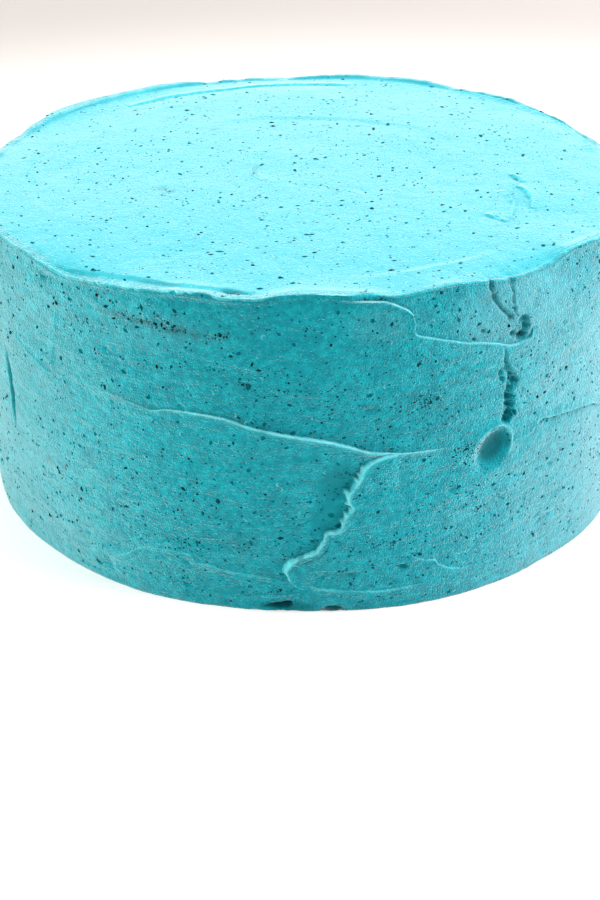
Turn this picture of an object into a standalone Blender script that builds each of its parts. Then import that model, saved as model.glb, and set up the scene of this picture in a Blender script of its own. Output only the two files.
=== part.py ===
"""Aqua frosted layer cake: one uncut drum under rough buttercream, 207 mm across and 97 mm high.

Metres, +Z up. The origin is the middle of the flat underside, and the front is towards -Y.
A place on the side is (arc, height): the arc runs round the side from the front and grows to
the right. A place on the top is (x, y).
"""

import math

import bpy
import numpy as np

MM = 0.001

# Driving dimensions of the cake
CAKE_RADIUS = 0.1035
CAKE_HEIGHT = 0.0967
RIM_ROUND = 0.0016
CIRCUMFERENCE = 2 * math.pi * CAKE_RADIUS

# How finely the drum is divided
COLUMNS = 140
TOP_RINGS = 10
RING_CROWDING = 2.1
RIM_STEPS = 2
LINE_GUARD = 0.0013
FRONT_CROWDING = ((0.008, 0.030, 0.9), (0.057, 0.012, 1.1), (-0.108, 0.010, 0.5))

# The frosting went on in courses. Each line between two courses wanders round the side, and
# rows of points follow it: its mean height, the rows above it, and places that it passes.
COURSES = (
    (0.0, 3, ()),
    (
        0.010,
        7,
        (
            (-64, 8.1), (-50, 15.2), (-35, 16.3), (-24, 12.0), (-7, 9.3), (11, 6.9), (25, 6.2),
            (36, 7.2), (51, 8.6), (110, 11), (180, 14), (240, 8), (300, 12), (-270, 15),
            (-200, 9), (-130, 12),
        ),
    ),
    (
        0.053,
        5,
        (
            (-63, 62.0), (-44, 60.6), (-36, 62.0), (-20, 59.8), (-1, 56.6), (10, 53.3),
            (20, 49.9), (41, 49.7), (54, 46.0), (69, 48.8), (86, 47.5), (103, 42.5), (150, 50),
            (190, 58), (235, 49), (275, 44), (-320, 52), (-270, 60), (-215, 52), (-160, 46),
            (-110, 56),
        ),
    ),
    (
        0.080,
        4,
        (
            (-100, 78), (-60, 82), (0, 84), (20, 88), (28, 86.4), (34, 83.1), (44, 80.1),
            (54, 77.6), (62, 76.1), (69, 79.5), (90, 82), (140, 76), (200, 84), (260, 78),
            (-310, 74), (-240, 82), (-170, 77),
        ),
    ),
)

# How far the side stands in or out at the foot, and how far the rim rises or sinks
FOOT_SWELL = (
    (-136, 0.4), (-107, -0.2), (-85, -0.4), (-50, 0.7), (-25, -0.6), (0, -1.1), (18, -0.3),
    (38, 0.2), (60, 0.4), (75, -0.2), (96, 1.0), (135, 0.2), (190, -0.5), (250, 0.6),
    (-320, -0.3), (-250, 0.5), (-190, -0.4),
)
RIM_RISE = (
    (-103, -0.2), (-81, -1.3), (-74, -2.0), (-65, -1.5), (-43, 0.0), (-29, 0.8), (-13, 0.6),
    (-1, 2.0), (11, 1.0), (24, 0.0), (42, 0.2), (60, -1.6), (67, -1.7), (83, 0.7), (130, 0.2),
    (197, -3.6), (220, -2.2), (240, -0.4), (265, -0.3), (290, 0.9), (-325, -0.4), (-280, 0.8),
    (-250, 1.4), (-220, 1.4), (-190, -0.6), (-140, 0.3),
)

# Ridges that the spatula pushed up: path, crest, half-width, and the drop along one side.
# A drop above zero lies on the right of the way along the path, one below zero on the left.
RIDGES = {
    "lap_under_rim": (
        (
            (13, 95.4), (20, 94.5), (24, 93.5), (27, 91.5), (28, 86.4), (34, 83.1), (44, 80.1),
            (54, 77.6), (62, 76.1), (66, 78.6), (65, 81.5),
        ),
        1.3, 2.0, -0.5,
    ),
    "long_ridge": (
        (
            (-63, 62.0), (-52, 61.8), (-44, 60.6), (-36, 62.0), (-23, 61.0), (-11, 58.1),
            (-1, 56.6), (10, 53.3), (20, 49.9), (31, 49.4), (41, 49.7), (47, 50.5),
        ),
        1.3, 2.1, 0.6,
    ),
    "torn_fin": (
        (
            (20, 49.7), (15, 45.6), (12, 39.3), (11, 37.0), (13, 33.8), (10, 30.8), (8, 26.2),
            (4, 24.3), (2, 20.1), (-4, 16.9), (-6, 14.0), (-5, 10.4),
        ),
        2.0, 2.6, 0.7,
    ),
    "ridge_right_of_scoop": (
        ((58, 47.5), (64, 47.1), (69, 48.8), (76, 48.3), (86, 47.5), (103, 42.5)),
        1.2, 2.1, 0.5,
    ),
    "low_ridge": (
        (
            (-64, 8.1), (-56, 11.0), (-50, 15.2), (-35, 16.3), (-33, 14.0), (-24, 12.0),
            (-7, 9.3), (11, 6.9), (25, 6.0), (36, 6.8),
        ),
        1.1, 2.0, 0.5,
    ),
    "low_right_ridge": (((28, 16.8), (33, 14.0), (38, 11.1), (46, 8.5), (51, 8.6)), 0.9, 1.9, 0.3),
    "left_upright": (((-77, 84.8), (-77, 78.0), (-79, 70), (-81, 61.7)), 0.6, 1.8, 0.2),
    "left_slant": (((-100, 68.2), (-92, 65.0), (-85, 63.1)), 0.7, 1.8, 0.3),
    "left_groove": (((-110, 62.2), (-107, 53.5), (-105, 45.2), (-108, 29.1)), -1.4, 2.6, 0.0),
    "upper_groove": (((53, 93.5), (54, 89.7), (58, 84.5), (62, 81.5)), -0.9, 1.8, 0.0),
    "back_long_ridge": (
        ((148, 50), (170, 54), (190, 58), (212, 54), (235, 49), (262, 45), (280, 44)),
        1.3, 2.1, 0.6,
    ),
    "back_torn_fin": (((212, 54), (208, 46), (210, 40), (204, 33), (200, 24)), 1.6, 2.4, 0.5),
    "back_lap": (((205, 92), (212, 86), (232, 81), (260, 78), (288, 76), (300, 79)), 1.2, 2.0, 0.5),
    "left_back_ridge": (
        ((-150, 47), (-165, 46), (-190, 49), (-215, 52), (-242, 57), (-270, 60), (-290, 57)),
        1.2, 2.1, -0.6,
    ),
    "left_back_fin": (((-242, 57), (-238, 64), (-241, 70), (-236, 77), (-239, 84)), 1.3, 2.3, 0.4),
    "back_low_ridge": (((150, 12), (180, 14), (210, 11), (240, 8), (270, 10)), 1.1, 2.0, 0.5),
    "left_low_ridge": (((-130, 12), (-160, 11), (-200, 9), (-235, 12), (-262, 15)), 1.0, 2.0, -0.5),
}
DROP_REACH = 0.0085
RIDGE_TAPER = 0.12

# Dents in the side: centre, half-sizes along and up, turn in degrees and depth
DENTS = {
    "thumb_scoop": (54.5, 45.6, 9.0, 5.6, 32, 1.9),
    "tear_top": (57.5, 68.5, 2.4, 4.5, 0, 0.9),
    "tear_foot": (59.0, 59.0, 3.0, 6.0, 0, 1.5),
    "hole_under_rim": (62.5, 79.6, 3.4, 2.6, 0, 1.4),
    "rough_hollow": (40.0, 43.0, 6.0, 3.6, 10, 0.5),
    "foot_gap": (-9.0, 1.0, 6.5, 2.6, 0, 2.2),
    "foot_gap_right": (6.5, 0.6, 5.0, 1.8, 0, 1.4),
    "foot_curl": (36.0, 8.5, 3.0, 1.6, 0, 0.8),
    "back_scoop": (250.0, 34.0, 8.0, 5.0, -28, 1.7),
    "back_tear": (176.0, 70.0, 2.8, 6.0, 5, 1.2),
    "left_back_scoop": (-205.0, 31.0, 9.0, 5.0, 20, 1.5),
    "left_back_hollow": (-268.0, 74.0, 3.4, 2.6, 0, 1.2),
}

# Marks on the top: path, height above the top, half-width
TOP_MARKS = {
    "front_crease": (
        ((-68, -75), (-61, -79), (-56, -80), (-50, -83), (-42, -87), (-33, -91), (-24, -93.5)),
        -0.7, 2.4,
    ),
    "front_pocket": (((-23, -93), (-19, -96), (-15, -98)), -1.0, 2.4),
    "right_arc": (((65, -7), (70, -18), (67, -31), (58, -45)), 0.6, 3.0),
    "middle_arc": (((-18, 6), (-18, -10), (-14, -32)), 0.5, 3.0),
    "right_back_lip": (((60, 80), (76, 66), (88, 48), (93, 34)), 0.7, 3.0),
    "left_swirl": (((-60, 30), (-66, 10), (-64, -12), (-55, -30)), 0.4, 4.0),
    "back_swirl": (((-20, 62), (6, 66), (34, 58), (50, 44)), 0.4, 4.0),
}
TOP_PITS = ((-43, -20, 4.0, 0.7), (68, -30, 4.0, 0.8), (55, -44, 3.5, 0.5), (-60, 48, 4.0, 0.6))

# Slow unevenness of the spread frosting: ripple size and a fixed seed
RIPPLE = 0.00035
RIPPLE_COUNT = 26
RIPPLE_SEED = 41

FROSTING_COLOUR = "4cc8cc"
FROSTING_ROUGHNESS = 0.62
SHARP_ANGLE = math.radians(50)


def clear_scene():
    for obj in list(bpy.data.objects):
        bpy.data.objects.remove(obj, do_unlink=True)


def linear_colour(hex_colour):
    """sRGB hex turned to the linear colour that a shader takes."""
    channels = [int(hex_colour[i : i + 2], 16) / 255 for i in (0, 2, 4)]
    return [c / 12.92 if c <= 0.04045 else ((c + 0.055) / 1.055) ** 2.4 for c in channels] + [1.0]


def buttercream():
    material = bpy.data.materials.new("buttercream")
    material.use_nodes = True
    shader = material.node_tree.nodes["Principled BSDF"]
    shader.inputs["Base Color"].default_value = linear_colour(FROSTING_COLOUR)
    shader.inputs["Roughness"].default_value = FROSTING_ROUGHNESS
    shader.inputs["Metallic"].default_value = 0.0
    return material


def profile_rows():
    """Heights of the side's rows: each course line with a guard row on both sides of it."""
    means = [course[0] for course in COURSES] + [CAKE_HEIGHT - RIM_ROUND]
    rows = []
    for low, high, (_, count, _) in zip(means, means[1:], COURSES):
        rows.append(low)
        rows.extend(np.linspace(low + LINE_GUARD, high - LINE_GUARD, count))
    return rows + [means[-1]]


def drum_profile():
    """Half section from the middle of the top, out over the rim and down to the underside."""
    ring = 1 - np.linspace(1, 0, TOP_RINGS + 1) ** RING_CROWDING
    flat_radius = CAKE_RADIUS - RIM_ROUND
    top = [(flat_radius * share, CAKE_HEIGHT) for share in ring]
    turns = [math.radians(90 * step / RIM_STEPS) for step in range(1, RIM_STEPS)]
    rim = [
        (flat_radius + RIM_ROUND * math.sin(turn), CAKE_HEIGHT - RIM_ROUND * (1 - math.cos(turn)))
        for turn in turns
    ]
    side = [(CAKE_RADIUS, height) for height in reversed(profile_rows())]
    return top + rim + side + [(0.0, 0.0)]


def turned_drum(collection):
    """The plain drum: the profile turned about the Z axis."""
    points = [(radius, 0.0, height) for radius, height in drum_profile()]
    mesh = bpy.data.meshes.new("frosted_cake")
    mesh.from_pydata(points, [(i, i + 1) for i in range(len(points) - 1)], [])
    drum = bpy.data.objects.new("frosted_cake", mesh)
    collection.objects.link(drum)
    screw = drum.modifiers.new("turn", "SCREW")
    screw.axis = "Z"
    screw.angle = 2 * math.pi
    screw.steps = COLUMNS
    screw.render_steps = COLUMNS
    screw.use_merge_vertices = True
    screw.merge_threshold = 0.00001
    bpy.context.view_layer.update()
    turned = bpy.data.meshes.new_from_object(
        drum.evaluated_get(bpy.context.evaluated_depsgraph_get())
    )
    drum.modifiers.clear()
    drum.data = turned
    bpy.data.meshes.remove(mesh)
    turned.name = "frosted_cake"
    return drum


def crowded(arc):
    """Arc of a column once the columns crowd towards the finest relief, at each place given."""
    ring = np.linspace(-CIRCUMFERENCE / 2, CIRCUMFERENCE / 2, 4001)
    density = np.ones_like(ring)
    for centre, reach, gain in FRONT_CROWDING:
        density += gain * np.exp(-(((ring - centre) / reach) ** 2))
    share = np.concatenate([[0], np.cumsum((density[1:] + density[:-1]) / 2)])
    return np.interp(arc / CIRCUMFERENCE + 0.5, share / share[-1], ring)


def around(arc, places):
    """A value that follows (arc, value) places in millimetres all the way round, in metres."""
    table = np.array(sorted(places)) * MM
    return np.interp(arc, table[:, 0], table[:, 1], period=CIRCUMFERENCE)


def follow_courses(arc, height):
    """Heights of the side's points once their rows follow the wandering course lines."""
    means = np.array([course[0] for course in COURSES] + [CAKE_HEIGHT - RIM_ROUND])
    lines = [np.full_like(arc, mean) for mean in means]
    for index, (_, _, places) in enumerate(COURSES):
        if places:
            lines[index] = around(arc, places)
    course = np.clip(np.searchsorted(means, height, side="right") - 1, 0, len(means) - 2)
    share = (height - means[course]) / (means[course + 1] - means[course])
    lines = np.array(lines)
    point = np.arange(len(arc))
    low = lines[course, point]
    return low + share * (lines[course + 1, point] - low)


def along_path(across, up, path, wrap):
    """Distance to a path, the share of its length at the nearest place, and which side: +1 right."""
    path = np.array(path) * MM
    run = np.diff(path, axis=0)
    offset_across = across[:, None] - path[:-1, 0]
    if wrap:
        offset_across = (offset_across + CIRCUMFERENCE / 2) % CIRCUMFERENCE - CIRCUMFERENCE / 2
    offset_up = up[:, None] - path[:-1, 1]
    share = (offset_across * run[:, 0] + offset_up * run[:, 1]) / (run**2).sum(axis=1)
    share = np.clip(share, 0, 1)
    gap = np.hypot(offset_across - share * run[:, 0], offset_up - share * run[:, 1])
    nearest = gap.argmin(axis=1)
    point = np.arange(len(across))
    side = np.sign(offset_across * run[:, 1] - offset_up * run[:, 0])[point, nearest]
    return gap[point, nearest], (nearest + share[point, nearest]) / len(run), side


def bell(ratio):
    """One in the middle, falling smoothly to nothing at a ratio of one."""
    return np.clip(1 - ratio**2, 0, 1) ** 2


def ridges(arc, height):
    """Height of the ridges and grooves above the side, with the scraped drop beside each."""
    total = np.zeros_like(arc)
    for path, crest, half_width, drop in RIDGES.values():
        gap, share, side = along_path(arc, height, path, wrap=True)
        taper = np.clip(np.minimum(share, 1 - share) / RIDGE_TAPER, 0, 1)
        total += crest * MM * taper * bell(gap / (half_width * MM))
        scraped = np.clip(side * np.sign(drop), 0, 1) * (1 - bell(gap / (half_width * MM)))
        total -= abs(drop) * MM * taper * scraped * np.exp(-gap / DROP_REACH)
    return total


def dents(arc, height):
    total = np.zeros_like(arc)
    for centre, level, half_length, half_height, turn, depth in DENTS.values():
        across = (arc - centre * MM + CIRCUMFERENCE / 2) % CIRCUMFERENCE - CIRCUMFERENCE / 2
        up = height - level * MM
        cosine = math.cos(math.radians(turn))
        sine = math.sin(math.radians(turn))
        long_share = (across * cosine + up * sine) / (half_length * MM)
        short_share = (up * cosine - across * sine) / (half_height * MM)
        total -= depth * MM * bell(np.hypot(long_share, short_share))
    return total


def ripples(x, y, z):
    """Slow waves of seeded direction and length, the unevenness that a spatula leaves."""
    random = np.random.default_rng(RIPPLE_SEED)
    total = np.zeros_like(x)
    for _ in range(RIPPLE_COUNT):
        direction = random.normal(size=3)
        direction /= np.linalg.norm(direction)
        wavelength = random.uniform(0.022, 0.075)
        phase = random.uniform(0, 2 * math.pi)
        along = x * direction[0] + y * direction[1] + z * direction[2] * 2
        total += np.sin(2 * math.pi * along / wavelength + phase)
    return RIPPLE * total / math.sqrt(RIPPLE_COUNT)


def top_relief(x, y):
    total = np.zeros_like(x)
    for path, crest, half_width in TOP_MARKS.values():
        gap, share, _ = along_path(x, y, path, wrap=False)
        taper = np.clip(np.minimum(share, 1 - share) / RIDGE_TAPER, 0, 1)
        total += crest * MM * taper * bell(gap / (half_width * MM))
    for centre_x, centre_y, half_width, depth in TOP_PITS:
        gap = np.hypot(x - centre_x * MM, y - centre_y * MM)
        total -= depth * MM * bell(gap / (half_width * MM))
    return total


def spread_frosting(drum):
    """Moves each point of the plain drum to where the spread frosting lies."""
    mesh = drum.data
    flat = np.empty(len(mesh.vertices) * 3)
    mesh.vertices.foreach_get("co", flat)
    x, y, z = flat.reshape(-1, 3).T
    radius = np.hypot(x, y)
    arc = crowded(np.arctan2(x, -y) * CAKE_RADIUS)
    angle = arc / CAKE_RADIUS

    underside = z < 0.5 * LINE_GUARD
    on_top = radius < CAKE_RADIUS - 1e-6
    on_side = ~on_top & ~underside
    height = np.where(on_side, follow_courses(arc, z), z)

    rim_near = np.clip((radius - 0.80 * CAKE_RADIUS) / (0.20 * CAKE_RADIUS), 0, 1)
    rim_near = np.where(on_side, np.clip(height / CAKE_HEIGHT, 0, 1) ** 9, rim_near**2)
    foot_near = np.clip(1 - height / CAKE_HEIGHT, 0, 1)
    wave = ripples(radius * np.sin(angle), -radius * np.cos(angle), height)

    # The foot's dents reach the underside, whose rim follows them.
    out = around(arc, FOOT_SWELL) * foot_near + wave + ridges(arc, height) + dents(arc, height)
    stretch = 1 + np.where(on_top & ~underside, wave * rim_near, out) / CAKE_RADIUS
    radius = np.where(underside & (radius < 0.5 * CAKE_RADIUS), 0, radius * stretch)
    x = radius * np.sin(angle)
    y = -radius * np.cos(angle)

    rise = around(arc, RIM_RISE) * rim_near
    lift = rise + np.where(on_top, top_relief(x, y) + wave, 0)
    z = np.where(underside, 0, height + lift)
    mesh.vertices.foreach_set("co", np.stack([x, y, z], axis=1).ravel())
    mesh.update()


def build_cake():
    clear_scene()
    collection = bpy.data.collections.new("frosted_layer_cake")
    bpy.context.scene.collection.children.link(collection)
    drum = turned_drum(collection)
    spread_frosting(drum)
    drum.data.materials.append(buttercream())
    drum.data.shade_smooth()
    drum.data.set_sharp_from_angle(angle=SHARP_ANGLE)


build_cake()
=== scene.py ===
import math

import bpy
import numpy as np
from mathutils import Matrix, Vector


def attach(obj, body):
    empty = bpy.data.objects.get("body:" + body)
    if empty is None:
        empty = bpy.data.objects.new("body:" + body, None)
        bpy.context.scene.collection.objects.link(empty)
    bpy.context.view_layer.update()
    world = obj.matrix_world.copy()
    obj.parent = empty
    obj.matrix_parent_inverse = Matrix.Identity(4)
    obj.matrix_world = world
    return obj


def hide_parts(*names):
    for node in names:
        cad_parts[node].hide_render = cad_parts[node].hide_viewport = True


# Aqua frosted layer cake. Shapes are worked out in millimetres and put into meshes in metres.
# A place on the side is (arc, height): the arc runs round from the front, growing to the right.
# A place on the top is (x, y).
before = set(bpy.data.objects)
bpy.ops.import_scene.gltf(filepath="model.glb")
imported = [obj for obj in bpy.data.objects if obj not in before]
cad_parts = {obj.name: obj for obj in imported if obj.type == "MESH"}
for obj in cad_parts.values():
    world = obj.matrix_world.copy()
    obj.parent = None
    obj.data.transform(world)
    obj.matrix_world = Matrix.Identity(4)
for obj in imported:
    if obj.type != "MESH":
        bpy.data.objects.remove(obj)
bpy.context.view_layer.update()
mm = 0.001
print("frame loaded:", sorted(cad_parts))

cake = {
    "radius": 103.5,
    "height": 96.7,  # foot to the mean height of the rim
    "rimRound": 1.5,
    "widest": 104.25,  # the frosting stays within the solid's own box
    "highest": 98.2,
    "lessAtBack": 0.6,  # mm off the widest at the back
    "leanIn": 0.7,  # mm that the side leans in below the rim
    "rimRagged": 0.18,  # mm of ragged noise in the rim's height
    "columns": 640,  # a multiple of 8, so that the top's square grid meets the side
    "topCrowding": 0.45,
    "frontCrowding": ((0, 105, 0.9), (12, 26, 0.35), (57, 12, 0.5)),  # arc, reach, gain
}
girth = 2 * math.pi * cake["radius"]


# How far out the frosting may stand: less at the back
def widest(arc):
    return cake["widest"] - cake["lessAtBack"] * np.clip((np.abs(arc) - 230) / 60, 0, 1)


# An arc or a gap along the girth, brought back to within half a turn of nought
def wrapped(arc, span=girth):
    return (arc + span / 2) % span - span / 2


# Points of the round side, from their arc, radius and height
def roundPoints(arc, radial, level):
    angle = arc / cake["radius"]
    return np.stack([radial * np.sin(angle), -radial * np.cos(angle), level], axis=1)


# Distance from the middle of a turned ellipse: one on its edge
def ellipseRatio(offA, offB, halfA, halfB, turn):
    cosine, sine = math.cos(math.radians(turn)), math.sin(math.radians(turn))
    return np.hypot((offA * cosine + offB * sine) / halfA, (offB * cosine - offA * sine) / halfB)


# sRGB hex to the linear colour that a shader takes
def colour(hexCode):
    parts = np.array([int(hexCode[i:i + 2], 16) / 255 for i in (1, 3, 5)])
    linear = np.where(parts <= 0.04045, parts / 12.92, ((parts + 0.055) / 1.055) ** 2.4)
    return (*[float(part) for part in linear], 1.0)


# Smooth random field: seeded values on a lattice of cells, eased between its points.
# a and b are in cells, and the lattice repeats after cellsA and cellsB.
def softNoise(a, b, cellsA, cellsB, seed):
    lattice = np.random.default_rng(seed).uniform(-1, 1, (cellsA, cellsB))
    lowA, lowB = np.floor(a).astype(int), np.floor(b).astype(int)
    easeA, easeB = a - lowA, b - lowB
    easeA, easeB = easeA * easeA * (3 - 2 * easeA), easeB * easeB * (3 - 2 * easeB)
    a0, a1, b0, b1 = lowA % cellsA, (lowA + 1) % cellsA, lowB % cellsB, (lowB + 1) % cellsB
    low = lattice[a0, b0] * (1 - easeA) + lattice[a1, b0] * easeA
    high = lattice[a0, b1] * (1 - easeA) + lattice[a1, b1] * easeA
    return low * (1 - easeB) + high * easeB


# The same field over the side, with cells of a stated length and height; it closes at the back
def sideNoise(arc, height, cellLength, cellHeight, seed):
    cells = max(4, round(girth / cellLength))
    return softNoise(arc / girth * cells, height / cellHeight, cells, 512, seed)


def topNoise(x, y, cellX, cellY, seed):
    return softNoise(x / cellX + 256, y / cellY + 256, 512, 512, seed)


# One-dimensional noise round the rim
def rimNoise(arc, cell, seed):
    return sideNoise(arc, arc * 0, cell, 9, seed)


# The arc that a point of the cake lies at
def arcOf(x, y):
    return np.arctan2(x, -y) * cake["radius"]


# One outside the rim's round, falling away towards the middle of the top
def nearRimShare(radial):
    return np.exp(-np.clip(cake["radius"] - cake["rimRound"] - radial, 0, None) / 5)


# How far along a line each of its places is
def runLengths(places):
    return np.concatenate([[0], np.cumsum(np.hypot(*np.diff(places, axis=0).T))])


# Unit steps to the left of the way along a line
def leftOf(places):
    way = np.gradient(places, axis=0)
    way /= np.hypot(*way.T)[:, None]
    return np.stack([-way[:, 1], way[:, 0]], axis=1)


# A value that passes through (arc, value) places all the way round
def around(arc, places):
    table = np.array(sorted(places), float)
    return np.interp(arc, table[:, 0], table[:, 1], period=girth)


# One in the middle, falling smoothly to nothing at a ratio of one
def bell(ratio):
    return np.clip(1 - ratio**2, 0, 1) ** 2


# Nought below low, one above high, eased between
def rise(value, low, high):
    share = np.clip((value - low) / (high - low), 0, 1)
    return share * share * (3 - 2 * share)


# A value that bends over smoothly so that it stays under a limit
def eased(value, limit, bend=0.9):
    over = value - (limit - bend)
    return np.where(over > 0, limit - bend + bend * np.tanh(over / bend), value)


# Distance from each point to a path, signed by side (above zero on the left of the way along
# it), and the share of the path's length at the nearest place
def alongPath(across, up, path, wraps=True):
    path = np.array(path, float)
    run, length = np.diff(path, axis=0), runLengths(path)
    gap = np.full(across.shape, 1e9)
    share, sign = np.zeros(across.shape), np.ones(across.shape)
    for (startA, startB), (runA, runB), before, after in zip(path, run, length, length[1:]):
        offA = across - startA
        if wraps:
            offA = wrapped(offA)
        offB = up - startB
        at = np.clip((offA * runA + offB * runB) / (runA**2 + runB**2), 0, 1)
        here = np.hypot(offA - at * runA, offB - at * runB)
        nearer = here < gap
        gap = np.where(nearer, here, gap)
        share = np.where(nearer, (before + at * (after - before)) / length[-1], share)
        sign = np.where(nearer, np.sign(runA * offB - runB * offA + 1e-12), sign)
    return gap * sign, share


ledge = {"under": 0.75, "low": 0.5}  # mm below the lip, share of the step that is a recess


def ledgeShape(step):
    return step * (1 - ledge["low"]) - (1 - step) * ledge["low"]


# Adds the height of a list of ledges to the surface. A ledge steps up to its proud side across
# "steep" mm; half of the step is a recess on the low side, half stands proud, and both fade out
# over "fade" mm. The step lies a little below the crisp lip that covers it.
def ledges(across, up, lines, wobble, wraps=True):
    total = np.zeros(across.shape)
    for line in lines:
        signed, share = alongPath(across, up, line["path"], wraps)
        signed = signed * line.get("proud", 1) + wobble * line.get("ragged", 0.25) * 0.5
        ends = rise(np.minimum(share, 1 - share) / line.get("taper", 0.08), 0, 1)
        step = rise(signed - ledge["under"], -line["steep"] / 2, line["steep"] / 2)
        shape = ledgeShape(step) * np.exp(-np.abs(signed) / line["fade"])
        total += ends * line["step"] * shape
    return total


# Adds elliptical hollows: (across, up, half length, half height, turn in degrees, depth).
# Wobble makes their edge ragged, and wall is the share of the radius that the wall takes.
# Merged hollows run into each other and aren't deeper where they meet.
def hollows(across, up, places, wraps=True, wobble=0.0, wall=1.0, merged=False):
    total = np.zeros(across.shape)
    for centreA, centreB, halfA, halfB, turn, depth in places:
        offA = wrapped(across - centreA) if wraps else across - centreA
        ratio = ellipseRatio(offA, up - centreB, halfA, halfB, turn)
        hollow = -depth * rise(1 - ratio + wobble, 0, wall)
        total = np.minimum(total, hollow) if merged else total + hollow
    return total


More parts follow.
